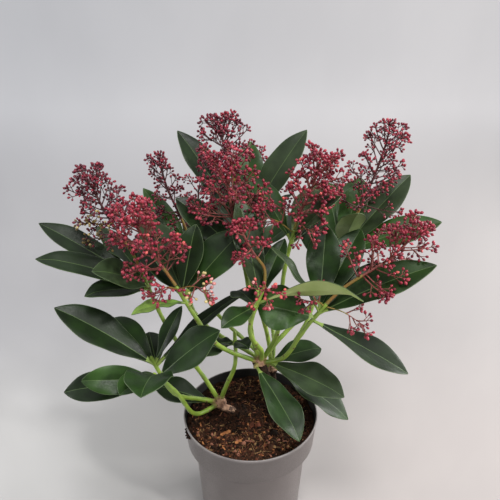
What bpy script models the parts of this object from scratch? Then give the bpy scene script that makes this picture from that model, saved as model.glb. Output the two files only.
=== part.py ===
"""Potted skimmia: a pot of peat, three woody bases, green stems, whorls of leaves and heads of red buds.

Units are metres with +Z up. The origin is the centre of the pot's flat underside. The plan below is in
millimetres and degrees: a heading of 0 is +X, 90 is +Y, away from the viewer, and 270 faces the viewer.
"""
import math
import random
from collections import namedtuple

import bmesh
import bpy
from mathutils import Matrix, Vector, noise
from mathutils.bvhtree import BVHTree

MM = 0.001
GAP = 0.3
GOLDEN_ANGLE = 137.5

# Pot
POT_HEIGHT = 125.0
RIM_RADIUS = 65.0
COLLAR_HEIGHT = 30.0
COLLAR_FOOT_RADIUS = 62.4
SHOULDER_RADIUS = 55.4
BASE_RADIUS = 49.7
WALL = 1.5
TURNED_STEPS = 36

# Soil
SOIL_LEVEL = 115.5
SOIL_BUMP = 2.4
SOIL_RINGS = (0.82, 0.62, 0.42, 0.2)

# Woody bases: the flare at the foot, the waist as a share of the ends, and the rings of the swollen fork
FLARE_HEIGHT = 2.5
TALL_TRUNK = 30.0
WAIST = 0.72
KNOB = ((-0.6, 0.8), (0, 1), (0.6, 0.8), (0.88, 0.47))

# Limbs
STEM_FOOT_RADIUS = 2.2
STEM_TIP_RADIUS = 1.9
TWIG_TIP_RADIUS = 1.7
STALK_RADIUS = 1.5
LIMB_SPACING = 16.0
LEAD = 2.5
FLAT = math.radians(0.3)

# Leaves
LEAF_THICKNESS = 1.7
LEAF_STATIONS = (0.1, 0.26, 0.46, 0.68, 0.87)
PETIOLE_HALF_WIDTH = 1.3
BASE_POWER = 1.5
TIP_POWER = 0.92
LEAF_FOLD = 14.0
LEAF_CLEARANCE = 0.5
OWN_SPACE_FROM = 0.3

FILL_LENGTH = (66, 92)
FILL_RISE = (4, 46)
FILL_SLENDER = (0.34, 0.4)
NUDGES = sorted(
    ((rise, heading) for rise in range(-24, 25, 6) for heading in range(-24, 25, 8)),
    key=lambda nudge: abs(nudge[0]) + abs(nudge[1]) * 0.8,
)

# Buds
BUD_RADIUS = 3.0
BRANCH_RADIUS = 0.9
BUD_WAIST = 0.9
BUD_LENGTH = 2.2
BUD_CLEARANCE = 0.4
HEAD_LEAN = (14, 62)
BRANCH_NUDGES = sorted(
    ((lean, turn) for lean in range(-30, 41, 10) for turn in range(-45, 46, 15)),
    key=lambda nudge: abs(nudge[0]) + abs(nudge[1]) * 0.7,
)

Base = namedtuple("Base", "name foot fork foot_radius fork_radius")
Shoot = namedtuple("Shoot", "name base leave foot axis twig")
Leaf = namedtuple("Leaf", "heading rise length width bend roll")
Head = namedtuple("Head", "name shoot tip bare spread branches taper seed")

BASES = (
    Base("woody_base_left", (-16, 8), (-30, 6, 129), 7.5, 6.4),
    Base("woody_base_right", (29, 6), (9, 2, 181), 7.5, 7.0),
    Base("woody_base_rear", (22, 32), (21, 37, 146), 7.5, 6.8),
)

# Each shoot: its woody base, the way it leaves it, and the foot, way and length of its leafy twig
SHOOTS = (
    Shoot("low_front", "woody_base_left", (220, -6), (-74, -40, 192), (195, 50), 14),
    Shoot("low_left", "woody_base_left", (190, 22), (-80, -27, 191), (160, 65), 18),
    Shoot("base_left", "woody_base_left", (172, -10), None, (172, -10), 6),
    Shoot("left", "woody_base_left", (165, 62), (-86, 0, 253), (160, 70), 22),
    Shoot("centre", "woody_base_right", (285, 60), (3, -32, 258), (30, 66), 20),
    Shoot("mid_left", "woody_base_right", (195, 30), (-50, -30, 260), (165, 60), 22),
    Shoot("back_left", "woody_base_rear", (200, 52), (-59, 45, 238), (70, 78), 22),
    Shoot("top", "woody_base_rear", (110, 80), (-6, 34, 290), (110, 78), 20),
    Shoot("top_front", "woody_base_right", (170, 72), (-5, 2, 280), (185, 78), 20),
    Shoot("upper_right", "woody_base_right", (5, 58), (32, 6, 292), (30, 75), 22),
    Shoot("right", "woody_base_right", (325, 25), (50, -27, 244), (345, 58), 24),
    Shoot("back_right", "woody_base_right", (45, 28), (80, 38, 268), (20, 70), 22),
    Shoot("low_right", "woody_base_right", (240, 4), None, (240, 4), 8),
    Shoot("base_right", "woody_base_right", (350, 2), None, (350, 2), 7),
    Shoot("inner", "woody_base_left", (20, 72), (-14, 4, 198), (100, 70), 14),
    Shoot("rear_left", "woody_base_rear", (140, 35), (-50, 76, 232), (110, 60), 22),
    Shoot("rear", "woody_base_rear", (75, 45), (8, 88, 246), (90, 64), 22),
    Shoot("rear_right", "woody_base_rear", (20, 45), (70, 78, 222), (65, 60), 22),
)

# The leaves that show from the front, by shoot
LEAVES = {
    "low_front": (
        Leaf(183, -6, 86, 27, 25, -35),
        Leaf(197, 12, 66, 24, 35, -50),
        Leaf(266, 27, 64, 38, 60, 0),
        Leaf(238, 20, 50, 28, 40, 0),
        Leaf(352, 45, 76, 32, 20, 40),
    ),
    "low_left": (
        Leaf(180, 37, 100, 32, 22, -25),
        Leaf(142, 18, 72, 34, 30, -15),
        Leaf(108, 22, 42, 24, 20, 0),
        Leaf(14, 34, 104, 26, 25, 4),
        Leaf(48, 46, 56, 22, 15, 8),
        Leaf(30, 28, 56, 18, 20, -6),
    ),
    "base_left": (
        Leaf(178, 20, 60, 27, 20, -20),
    ),
    "left": (
        Leaf(168, 29, 110, 25, 14, -22),
        Leaf(189, 23, 97, 26, 28, -20),
        Leaf(214, 20, 58, 26, 25, -10),
        Leaf(232, 36, 66, 28, 30, -40),
    ),
    "mid_left": (
        Leaf(205, 2, 46, 18, 30, 4),
        Leaf(58, 68, 60, 23, 15, 20),
        Leaf(25, 43, 74, 33, 15, 30),
        Leaf(128, 20, 74, 30, 25, 0),
    ),
    "back_left": (
        Leaf(152, 60, 92, 28, 15, -10),
        Leaf(222, 62, 62, 26, 10, -10),
        Leaf(350, 66, 64, 26, 10, 0),
    ),
    "top": (
        Leaf(152, 52, 106, 28, 15, -22),
        Leaf(30, 52, 106, 30, 15, 20),
        Leaf(82, 55, 84, 30, 10, 0),
        Leaf(8, 38, 56, 20, 15, -6),
    ),
    "top_front": (
        Leaf(168, 42, 76, 30, 20, -30),
        Leaf(195, 30, 50, 28, 20, -30),
    ),
    "centre": (
        Leaf(125, 70, 84, 28, 8, 0),
        Leaf(331, 19, 94, 20, 48, -52),
        Leaf(122, 2, 32, 24, 20, 0),
        Leaf(230, 2, 42, 18, 25, -20),
        Leaf(60, 40, 60, 19, 10, 0),
    ),
    "right": (
        Leaf(178, 50, 72, 20, 15, 0),
        Leaf(342, -23, 90, 28, 8, 12),
        Leaf(174, 12, 50, 38, 22, -48),
        Leaf(354, 30, 104, 30, 20, 25),
        Leaf(18, 26, 80, 30, 20, 25),
        Leaf(80, 56, 74, 29, 10, 0),
        Leaf(52, 40, 86, 29, 15, 10),
    ),
    "upper_right": (
        Leaf(55, 40, 62, 26, 20, 0),
        Leaf(340, 50, 60, 26, 15, 20),
    ),
    "back_right": (
        Leaf(26, 42, 96, 31, 15, 25),
        Leaf(356, 22, 94, 31, 20, 25),
        Leaf(280, 40, 58, 26, 20, 0),
        Leaf(60, 50, 66, 26, 15, 0),
    ),
    "low_right": (
        Leaf(302, -24, 78, 31, 14, -6),
    ),
    "base_right": (
        Leaf(330, -6, 76, 34, 22, 10),
        Leaf(343, -31, 92, 31, 16, 8),
        Leaf(20, 4, 54, 28, 25, 10),
    ),
    "inner": (
        Leaf(330, 14, 22, 18, 20, 10),
        Leaf(195, 2, 24, 18, 20, 0),
        Leaf(186, -12, 44, 26, 20, -10),
        Leaf(150, -40, 44, 22, 25, 0),
    ),
}

HEADS = (
    Head("far_left", "left", (-127, 5, 351), 0.42, 31, 14, 0.35, 11),
    Head("left", "mid_left", (-87, -30, 334), 0.3, 33, 18, 0.35, 52),
    Head("back_left", "back_left", (-79, 50, 356), 0.42, 19, 10, 0.45, 33),
    Head("top", "top", (-24, 34, 388), 0.6, 28, 13, 0.35, 14),
    Head("top_front", "top_front", (-19, 2, 362), 0.3, 40, 18, 0.35, 62),
    Head("upper_right", "upper_right", (54, 14, 360), 0.24, 36, 16, 0.4, 35),
    Head("back_right", "back_right", (115, 44, 377), 0.32, 35, 18, 0.4, 26),
    Head("right", "right", (125, -26, 321), 0.4, 31, 16, 0.35, 77),
    Head("centre", "centre", (-6, -30, 328), 0.5, 15, 7, 0.4, 58),
    Head("rear_left", "rear_left", (-52, 104, 314), 0.3, 27, 8, 0.4, 39),
    Head("rear", "rear", (8, 116, 338), 0.3, 29, 8, 0.4, 20),
    Head("rear_right", "rear_right", (86, 102, 314), 0.3, 27, 8, 0.4, 21),
)

# Small loose sprigs of buds, each rooted in its shoot's leafy twig
SPRIGS = (
    Head("low_left", "mid_left", (-72, -52, 288), 0.35, 15, 6, 0.3, 31),
    Head("pale", "mid_left", (-34, -46, 286), 0.45, 13, 5, 0.3, 32),
    Head("low_centre", "centre", (11, -52, 287), 0.35, 15, 5, 0.3, 33),
    Head("inner_right", "upper_right", (50, -14, 322), 0.4, 16, 6, 0.3, 38),
    Head("low_right", "right", (46, -40, 272), 0.35, 13, 5, 0.3, 34),
    Head("loose", "right", (74, -30, 299), 0.35, 16, 6, 0.2, 35),
    Head("crown", "upper_right", (9, -8, 332), 0.35, 17, 7, 0.3, 40),
    Head("thin", "right", (90, -46, 254), 0.5, 12, 5, 0.3, 36),
)

# First heading, last heading and number of the leaves that fill a whorl's open sides
FILL = {
    "low_front": (60, 140, 0),
    "low_left": (60, 130, 0),
    "base_left": (60, 130, 0),
    "base_right": (60, 130, 0),
    "top_front": (60, 130, 1),
    "left": (60, 150, 3),
    "mid_left": (80, 170, 1),
    "back_left": (10, 190, 3),
    "top": (40, 150, 2),
    "centre": (60, 120, 1),
    "upper_right": (40, 160, 2),
    "right": (20, 80, 0),
    "back_right": (50, 120, 2),
    "low_right": (40, 120, 0),
    "inner": (60, 130, 0),
    "rear_left": (30, 200, 5),
    "rear": (20, 170, 5),
    "rear_right": (0, 120, 4),
}


def towards(heading, rise):
    """The direction of a heading and a rise above level, both in degrees."""
    turn, lift = math.radians(heading), math.radians(rise)
    return Vector((math.cos(turn) * math.cos(lift), math.sin(turn) * math.cos(lift), math.sin(lift)))


def smooth_route(start, leave, end, arrive):
    """A smooth route with the given ways out and in, straight for a short lead at either end."""
    first, last = start + leave * LEAD, end - arrive * LEAD
    reach = (last - first).length
    handles = (first, first + leave * reach * 0.4, last - arrive * reach * 0.4, last)
    count = max(2, round(reach / LIMB_SPACING))
    points = [start]
    for step in range(count + 1):
        t = step / count
        weights = ((1 - t) ** 3, 3 * t * (1 - t) ** 2, 3 * t * t * (1 - t), t ** 3)
        points.append(sum((h * w for h, w in zip(handles, weights)), Vector()))
    return points + [end]


def skin(rings):
    """A closed mesh through a row of rings; a ring of one point is a tip, and a wider end ring is capped."""
    bm = bmesh.new()
    rows = [[bm.verts.new(point * MM) for point in ring] for ring in rings]
    for low, high in zip(rows, rows[1:]):
        count = max(len(low), len(high))
        for i in range(count):
            j = (i + 1) % count
            corners = (low[i % len(low)], low[j % len(low)], high[j % len(high)], high[i % len(high)])
            bm.faces.new(dict.fromkeys(corners))
    for row in (rows[0], rows[-1]):
        if len(row) > 2:
            bm.faces.new(row)
    bmesh.ops.recalc_face_normals(bm, faces=bm.faces)
    bmesh.ops.triangulate(bm, faces=bm.faces)
    mesh = bpy.data.meshes.new("piece")
    bm.to_mesh(mesh)
    bm.free()
    return mesh


def limb(points, radii, resolution=1):
    """A tapering round limb along a route, made as a bevelled curve and then turned into a closed mesh."""
    curve = bpy.data.curves.new("limb", "CURVE")
    curve.dimensions = "3D"
    curve.bevel_depth = MM
    curve.bevel_resolution = resolution
    curve.use_fill_caps = True
    spline = curve.splines.new("POLY")
    spline.points.add(len(points) - 1)
    for place, point, radius in zip(spline.points, points, radii):
        place.co = (*(point * MM), 1)
        place.radius = radius
    guide = bpy.data.objects.new("limb", curve)
    bpy.context.scene.collection.objects.link(guide)
    mesh = bpy.data.meshes.new_from_object(guide.evaluated_get(bpy.context.evaluated_depsgraph_get()))
    bpy.data.objects.remove(guide)
    bpy.data.curves.remove(curve)
    bm = bmesh.new()
    bm.from_mesh(mesh)
    bmesh.ops.remove_doubles(bm, verts=bm.verts, dist=0.01 * MM)
    bmesh.ops.recalc_face_normals(bm, faces=bm.faces)
    bmesh.ops.triangulate(bm, faces=bm.faces)
    bm.to_mesh(mesh)
    bm.free()
    return mesh


def taper(points, foot_radius, tip_radius):
    """Radii that fall evenly from the foot of a route to its tip."""
    last = len(points) - 1
    return [foot_radius + (tip_radius - foot_radius) * i / last for i in range(last + 1)]


def half_width(s, width):
    """Half a leaf's width at a share s of its length: a short stalk, then widest past the middle."""
    peak = BASE_POWER / (BASE_POWER + TIP_POWER)
    top = peak ** BASE_POWER * (1 - peak) ** TIP_POWER
    return max(PETIOLE_HALF_WIDTH, width / 2 * s ** BASE_POWER * (1 - s) ** TIP_POWER / top)


def midrib(foot, leaf, s):
    """The point at a share s along a leaf's arc, with the ways to its left and its upper side there."""
    half_bend = math.radians(leaf.bend) / 2
    chord = towards(leaf.heading, leaf.rise)
    left = towards(leaf.heading + 90, 0)
    up = left.cross(chord) * -1
    turned = Matrix.Rotation(math.radians(leaf.roll), 3, chord)
    left, up = turned @ left, turned @ up
    angle = half_bend * (1 - 2 * s)
    radius = leaf.length / (2 * math.sin(half_bend))
    along = radius * (math.sin(half_bend) - math.sin(angle))
    above = radius * (math.cos(angle) - math.cos(half_bend))
    way = chord * math.cos(angle) + up * math.sin(angle)
    return foot + chord * along + up * above, left, left.cross(way) * -1


def blade(foot, leaf, extra=0.0, start=0.0):
    """A leaf as a thin closed blade with raised sides; extra swells it, and start leaves off its root."""
    fold = math.tan(math.radians(LEAF_FOLD))
    thick = LEAF_THICKNESS / 2 + extra
    rings = []
    for s in (start, *(s for s in LEAF_STATIONS if s > start)):
        centre, left, up = midrib(foot, leaf, s)
        half = half_width(s, leaf.width) + extra
        edge = up * half * fold
        sides = (centre - left * half + edge, centre + left * half + edge)
        rings.append([sides[0], centre - up * thick, sides[1], centre + up * thick])
    rings.append([midrib(foot, leaf, 1.0)[0]])
    return skin(rings)


def bud(foot, way, stalk, extra=0.0):
    """A bud larger than life on its stalk or branch, as one three-sided drumstick."""
    side = way.orthogonal().normalized()
    spokes = [Matrix.Rotation(math.tau * k / 3, 3, way) @ side for k in range(3)]
    rings = []
    shape = ((0.0, BRANCH_RADIUS), (stalk, BRANCH_RADIUS), (stalk + BUD_RADIUS * BUD_WAIST, BUD_RADIUS))
    for reach, radius in shape:
        rings.append([foot + way * reach + spoke * (radius + extra) for spoke in spokes])
    rings.append([foot + way * (stalk + BUD_RADIUS * BUD_LENGTH + extra)])
    return skin(rings)


class Space:
    """What stands where, so that a leaf or a bud that would touch it can be turned or left out."""

    def __init__(self):
        self.pieces = []
        self.outer_blades = {}

    def add(self, owner, mesh):
        self.pieces.append((owner, tree_of(mesh)))

    def is_free(self, owner, mesh):
        """Whether a piece of this owner's would touch no other owner's."""
        tree = tree_of(mesh)
        return not any(name != owner and tree.overlap(other) for name, other in self.pieces)

    def is_apart(self, owner, outer):
        """Whether the outer part of a leaf would touch no other leaf of its own whorl."""
        tree = tree_of(outer)
        return not any(tree.overlap(other) for other in self.outer_blades.get(owner, ()))

    def add_leaf(self, owner, whole, outer):
        self.add(owner, whole)
        self.outer_blades.setdefault(owner, []).append(tree_of(outer))


def tree_of(mesh):
    """A search tree of a mesh's faces."""
    return BVHTree.FromPolygons([v.co for v in mesh.vertices], [p.vertices for p in mesh.polygons])


def material(name, colour, roughness, metallic=0.0):
    """A plain finish of one colour."""
    finish = bpy.data.materials.new(name)
    finish.use_nodes = True
    shader = finish.node_tree.nodes["Principled BSDF"]
    shader.inputs["Base Color"].default_value = (*colour, 1)
    shader.inputs["Roughness"].default_value = roughness
    shader.inputs["Metallic"].default_value = metallic
    return finish


def place(name, mesh, finish):
    """A named object of the plant."""
    obj = bpy.data.objects.new(name, mesh)
    mesh.name = name
    mesh.materials.clear()
    mesh.materials.append(finish)
    bpy.data.collections["potted_skimmia"].objects.link(obj)
    return obj


def outer_shell(mesh):
    """The mesh without the hollows that a union seals inside it, its flat faces made whole again."""
    bm = bmesh.new()
    bm.from_mesh(mesh)
    unseen, shells = set(bm.faces), []
    while unseen:
        edge_of_search, shell = [unseen.pop()], []
        while edge_of_search:
            face = edge_of_search.pop()
            shell.append(face)
            beside = {other for edge in face.edges for other in edge.link_faces} & unseen
            unseen -= beside
            edge_of_search += beside
        shells.append(shell)
    shells.sort(key=len)
    bmesh.ops.delete(bm, geom=[face for shell in shells[:-1] for face in shell], context="FACES")
    bmesh.ops.dissolve_limit(bm, angle_limit=FLAT, verts=bm.verts, edges=bm.edges)
    bmesh.ops.triangulate(bm, faces=bm.faces)
    bm.to_mesh(mesh)
    bm.free()
    return mesh


def join(name, pieces, finish):
    """One body from a stem and all that is rooted in it, by a Boolean union."""
    scene = bpy.context.scene.collection
    rest = bpy.data.collections.new(name + "_pieces")
    scene.children.link(rest)
    for mesh in pieces[1:]:
        rest.objects.link(bpy.data.objects.new(name + "_piece", mesh))
    body = place(name, pieces[0], finish)
    union = body.modifiers.new("union", "BOOLEAN")
    union.operation = "UNION"
    union.operand_type = "COLLECTION"
    union.collection = rest
    union.solver = "EXACT"
    joined = bpy.data.meshes.new_from_object(body.evaluated_get(bpy.context.evaluated_depsgraph_get()))
    body.modifiers.clear()
    body.data = outer_shell(joined)
    joined.materials.clear()
    joined.materials.append(finish)
    for obj in list(rest.objects):
        bpy.data.objects.remove(obj)
    bpy.data.collections.remove(rest)
    return body


def turned_pot():
    """The pot, a turned profile: inner floor, wall, shoulder, rim, collar, outer wall, underside."""
    shoulder = POT_HEIGHT - COLLAR_HEIGHT
    profile = (
        (0, WALL),
        (BASE_RADIUS - WALL, WALL),
        (SHOULDER_RADIUS - WALL, shoulder + WALL),
        (COLLAR_FOOT_RADIUS - WALL, shoulder + WALL),
        (RIM_RADIUS - WALL, POT_HEIGHT),
        (RIM_RADIUS, POT_HEIGHT),
        (COLLAR_FOOT_RADIUS, shoulder),
        (SHOULDER_RADIUS, shoulder),
        (BASE_RADIUS, 0),
        (0, 0),
    )
    mesh = bpy.data.meshes.new("pot")
    corners = [(r * MM, 0, z * MM) for r, z in profile]
    mesh.from_pydata(corners, [(i, i + 1) for i in range(len(corners) - 1)], [])
    pot = place("pot", mesh, material("pot_plastic", (0.2, 0.18, 0.18), 0.5))
    turn = pot.modifiers.new("turn", "SCREW")
    turn.steps = turn.render_steps = TURNED_STEPS
    turn.use_merge_vertices = True
    turn.merge_threshold = 0.01 * MM
    turn.use_smooth_shade = True
    return pot


def soil_height(x, y):
    """The lumpy top of the peat, level where the woody bases stand and near the wall."""
    lumps = noise.noise(Vector((x, y, 0)) / 11) + 0.5 * noise.noise(Vector((x, y, 40)) / 5)
    near = min(math.hypot(x - base.foot[0], y - base.foot[1]) - base.foot_radius for base in BASES)
    level = max(0.0, min(1.0, (near - 1) / 8))
    return SOIL_LEVEL + SOIL_BUMP * lumps * level


def lumpy_soil():
    """The peat that fills the pot, clear of its inner wall."""
    shelf = POT_HEIGHT - COLLAR_HEIGHT + WALL + GAP
    inset = WALL + GAP
    edge = COLLAR_FOOT_RADIUS + (RIM_RADIUS - COLLAR_FOOT_RADIUS) * 0.6 - inset
    turns = [math.tau * k / TURNED_STEPS for k in range(TURNED_STEPS)]

    def ring(radius, height=None):
        spots = [(radius * math.cos(a), radius * math.sin(a)) for a in turns]
        return [Vector((x, y, soil_height(x, y) if height is None else height)) for x, y in spots]

    rings = [ring(BASE_RADIUS - inset, inset), ring(SHOULDER_RADIUS - inset, shelf)]
    rings += [ring(COLLAR_FOOT_RADIUS - inset, shelf), ring(edge, SOIL_LEVEL - 2)]
    rings += [ring(edge * share) for share in SOIL_RINGS]
    rings.append([Vector((0, 0, soil_height(0, 0)))])
    return place("soil", skin(rings), material("peat", (0.045, 0.022, 0.014), 0.95))


def trunk_profile(base):
    """Centres and radii up a short woody trunk, flared at the soil and swollen where its stems leave it."""
    foot, fork = Vector((*base.foot, SOIL_LEVEL + GAP)), Vector(base.fork)
    swell = base.fork_radius
    waist = swell * WAIST
    rise = fork - foot
    profile = [(foot, base.foot_radius)]
    profile.append((foot + rise * min(0.3, FLARE_HEIGHT / rise.length), base.foot_radius * WAIST))
    if rise.length > TALL_TRUNK:
        profile += [(foot + rise * 0.25, waist * 1.1), (foot + rise * 0.55, waist)]
        profile.append((foot + rise * (1 - 1.3 * swell / rise.length), waist))
    profile += [(fork + Vector((0, 0, lift * swell)), width * swell) for lift, width in KNOB]
    return profile, fork + Vector((0, 0, swell))


def woody_base(base):
    """The solid of a woody trunk."""
    profile, top = trunk_profile(base)
    rings = [[centre + towards(45 * k, 0) * radius for k in range(8)] for centre, radius in profile]
    return skin(rings + [[top]])


def stem_start(shoot):
    """Where a shoot's stem leaves its woody base, just clear of it."""
    base = next(b for b in BASES if b.name == shoot.base)
    return Vector(base.fork) + towards(*shoot.leave) * (base.fork_radius + GAP)


def stem_route(shoot):
    """The route of a shoot's bare stem."""
    return smooth_route(stem_start(shoot), towards(*shoot.leave), Vector(shoot.foot), towards(*shoot.axis))


def twig_foot(shoot):
    """The foot of a shoot's leafy twig, just clear of its stem or woody base."""
    if shoot.foot is None:
        return stem_start(shoot)
    return Vector(shoot.foot) + towards(*shoot.axis) * GAP


def leaf_foot(shoot, leaf):
    """Where a leaf is rooted in its twig: the more upright it is, the higher up."""
    share = min(0.55, max(0.1, (leaf.rise + 35) / 170))
    return twig_foot(shoot) + towards(*shoot.axis) * shoot.twig * share


def more_leaves(shoot, rng):
    """Leaves that the rule adds on the sides of a whorl that the plan leaves open."""
    first, last, count = FILL[shoot.name]
    for k in range(count):
        heading = first + (last - first) * (k + 0.5) / count + rng.uniform(-8, 8)
        length = rng.uniform(*FILL_LENGTH)
        rise = rng.uniform(*FILL_RISE)
        width = length * rng.uniform(*FILL_SLENDER)
        yield Leaf(heading, rise, length, width, rng.uniform(15, 35), rng.uniform(-15, 15))


def settle(shoot, leaf, space):
    """The leaf as planned, or turned a little to clear other nodes and the leaves beside it; else None."""
    owner = "leaves_" + shoot.name
    for rise, heading in NUDGES:
        tried = leaf._replace(rise=leaf.rise + rise, heading=leaf.heading + heading)
        foot = leaf_foot(shoot, tried)
        whole = blade(foot, tried, LEAF_CLEARANCE)
        outer = blade(foot, tried, 0.0, OWN_SPACE_FROM)
        if space.is_free(owner, whole) and space.is_apart(owner, outer):
            space.add_leaf(owner, whole, outer)
            return tried
    return None


def head_route(head):
    """The route of a head's stalk, from just above its shoot's twig."""
    shoot = next(s for s in SHOOTS if s.name == head.shoot)
    axis = towards(*shoot.axis)
    foot = twig_foot(shoot) + axis * (shoot.twig + GAP)
    tip = Vector(head.tip)
    return smooth_route(foot, axis, tip, ((tip - foot).normalized() + Vector((0, 0, 0.4))).normalized())


def sprig_route(sprig):
    """The route of a sprig's stalk, from inside its shoot's twig."""
    shoot = next(s for s in SHOOTS if s.name == sprig.shoot)
    foot = twig_foot(shoot) + towards(*shoot.axis) * shoot.twig * 0.85
    tip = Vector(sprig.tip)
    return [foot, (foot + tip) / 2 + Vector((0, 0, 3)), tip]


def along(route, share):
    """The point and the way on at a share of a route."""
    place_on = share * (len(route) - 1)
    i = min(int(place_on), len(route) - 2)
    return route[i].lerp(route[i + 1], place_on - i), (route[i + 1] - route[i]).normalized()


def side_branches(head, route):
    """Foot, stalk's way, turn, lean and length of each side branch, shorter and steeper towards the top."""
    rng = random.Random(head.seed)
    for k in range(head.branches):
        u = (k + 0.5) / head.branches
        foot, way = along(route, head.bare + (1 - head.bare) * u * 0.94)
        turn = GOLDEN_ANGLE * k + rng.uniform(-18, 18)
        lean = HEAD_LEAN[0] + (HEAD_LEAN[1] - HEAD_LEAN[0]) * u + rng.uniform(-8, 8)
        yield foot, way, turn, lean, head.spread * (1 - head.taper * u) * rng.uniform(0.82, 1.05)


def aimed(way, turn, lean):
    """A way off a stalk: turned about it, and leaning up from square to it."""
    out = Matrix.Rotation(math.radians(turn), 3, way) @ way.orthogonal().normalized()
    return way * math.sin(math.radians(lean)) + out * math.cos(math.radians(lean))


def settle_branch(name, branch, space):
    """A side branch that ends in a bud, as planned or turned a little to clear other nodes; else None."""
    foot, stalk_way, turn, lean, length = branch
    for more_lean, more_turn in BRANCH_NUDGES:
        way = aimed(stalk_way, turn + more_turn, lean + more_lean)
        if space.is_free(name, bud(foot, way, length, BUD_CLEARANCE)):
            return foot, way, length
    return None


def settle_branches(name, head, route, space):
    """Foot, way and length of each side branch that has room, and of the bud at the stalk's tip."""
    settled = [settle_branch(name, branch, space) for branch in side_branches(head, route)]
    settled = [branch for branch in settled if branch]
    settled.append((route[-1], (route[-1] - route[-2]).normalized(), 0.5))
    for branch in settled:
        space.add(name, bud(*branch))
    return settled


def grow(space):
    """Settle the limbs, the planned leaves, the heads and sprigs, then the leaves that fill whorls."""
    meshes, leaves, branches, sprigs = {}, {}, {}, []
    for base in BASES:
        meshes[base.name] = woody_base(base)
    for shoot in SHOOTS:
        if shoot.foot is not None:
            route = stem_route(shoot)
            meshes["stem_" + shoot.name] = limb(route, taper(route, STEM_FOOT_RADIUS, STEM_TIP_RADIUS))
        foot = twig_foot(shoot)
        tip = foot + towards(*shoot.axis) * shoot.twig
        meshes["leaves_" + shoot.name] = limb([foot, tip], [STEM_TIP_RADIUS, TWIG_TIP_RADIUS], 0)
    for head in HEADS:
        route = head_route(head)
        meshes["flower_head_" + head.name] = limb(route, taper(route, STALK_RADIUS, STALK_RADIUS * 0.6), 0)
    for name, mesh in meshes.items():
        space.add(name, mesh)
    for shoot in SHOOTS:
        leaves[shoot.name] = [settle(shoot, leaf, space) for leaf in LEAVES.get(shoot.name, ())]
    for head in HEADS:
        branches[head.name] = settle_branches("flower_head_" + head.name, head, head_route(head), space)
    for sprig in SPRIGS:
        owner = "leaves_" + sprig.shoot
        route = sprig_route(sprig)
        stalk = limb(route, taper(route, BRANCH_RADIUS, BRANCH_RADIUS), 0)
        if space.is_free(owner, stalk):
            space.add(owner, stalk)
            sprigs.append((sprig, stalk, settle_branches(owner, sprig, route, space)))
    for number, shoot in enumerate(SHOOTS):
        rng = random.Random(number)
        leaves[shoot.name] += [settle(shoot, leaf, space) for leaf in more_leaves(shoot, rng)]
    return meshes, leaves, branches, sprigs


def main():
    """Build the pot and its peat, the woody bases, the stems, the heads of buds and the masses of leaves."""
    for obj in list(bpy.data.objects):
        bpy.data.objects.remove(obj)
    plant = bpy.data.collections.new("potted_skimmia")
    bpy.context.scene.collection.children.link(plant)
    pot = turned_pot()
    soil = lumpy_soil()
    space = Space()
    turned = pot.evaluated_get(bpy.context.evaluated_depsgraph_get())
    space.add(pot.name, bpy.data.meshes.new_from_object(turned))
    space.add(soil.name, soil.data)
    meshes, leaves, branches, sprigs = grow(space)
    bark = material("bark", (0.42, 0.27, 0.19), 0.8)
    green = material("green_stem", (0.35, 0.42, 0.08), 0.55)
    red = material("red_buds", (0.3, 0.02, 0.04), 0.4)
    leaf_green = material("leaf", (0.02, 0.06, 0.03), 0.35)
    for base in BASES:
        place(base.name, meshes[base.name], bark)
    for shoot in SHOOTS:
        if shoot.foot is not None:
            place("stem_" + shoot.name, meshes["stem_" + shoot.name], green)
    for head in HEADS:
        name = "flower_head_" + head.name
        join(name, [meshes[name]] + [bud(*branch) for branch in branches[head.name]], red)
    for shoot in SHOOTS:
        name = "leaves_" + shoot.name
        settled = [leaf for leaf in leaves[shoot.name] if leaf]
        pieces = [meshes[name]] + [blade(leaf_foot(shoot, leaf), leaf) for leaf in settled]
        for sprig, stalk, buds in sprigs:
            if sprig.shoot == shoot.name:
                pieces += [stalk] + [bud(*branch) for branch in buds]
        join(name, pieces, leaf_green)
    return leaves


SETTLED = main()
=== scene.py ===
"""The looks of the potted skimmia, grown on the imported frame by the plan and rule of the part's source.

The plan is in millimetres and degrees. Heading 0 is +X, 90 is away from the viewer and 270 towards it.
"""
import random
from collections import namedtuple
from math import cos, exp, hypot, pi, radians, sin, sqrt, tan, tau

import bmesh
import bpy
from mathutils import Matrix, Vector, noise
from mathutils.bvhtree import BVHTree


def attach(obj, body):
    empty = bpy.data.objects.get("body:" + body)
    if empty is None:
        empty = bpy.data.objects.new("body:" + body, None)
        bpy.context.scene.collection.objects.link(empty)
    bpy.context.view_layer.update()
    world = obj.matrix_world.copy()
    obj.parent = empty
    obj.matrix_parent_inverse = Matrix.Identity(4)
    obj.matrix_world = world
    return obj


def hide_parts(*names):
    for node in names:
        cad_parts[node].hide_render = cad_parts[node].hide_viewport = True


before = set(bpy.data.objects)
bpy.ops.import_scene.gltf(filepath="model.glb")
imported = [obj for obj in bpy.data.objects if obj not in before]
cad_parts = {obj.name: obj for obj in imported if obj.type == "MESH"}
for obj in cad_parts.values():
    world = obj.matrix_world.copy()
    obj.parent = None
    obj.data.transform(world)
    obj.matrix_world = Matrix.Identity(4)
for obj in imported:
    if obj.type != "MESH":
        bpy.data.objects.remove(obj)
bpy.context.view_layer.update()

MM = 0.001
GAP = 0.3
GOLDEN_ANGLE = 137.5

# Where the seeds of the random draws start
LEAF_SEED = 100
STEM_SEED = 200
FINER_SEED = 500
CRUMB_SEED = 4
FIBRE_SEED = 5
CHIP_SEED = 6

# Pot
POT_HEIGHT = 125.0
RIM_RADIUS = 65.0
COLLAR_HEIGHT = 30.0
COLLAR_FOOT_RADIUS = 62.4
SHOULDER_RADIUS = 55.4
BASE_RADIUS = 49.7
WALL = 1.5

# Soil
SOIL_LEVEL = 115.5
SOIL_BUMP = 2.4

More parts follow.
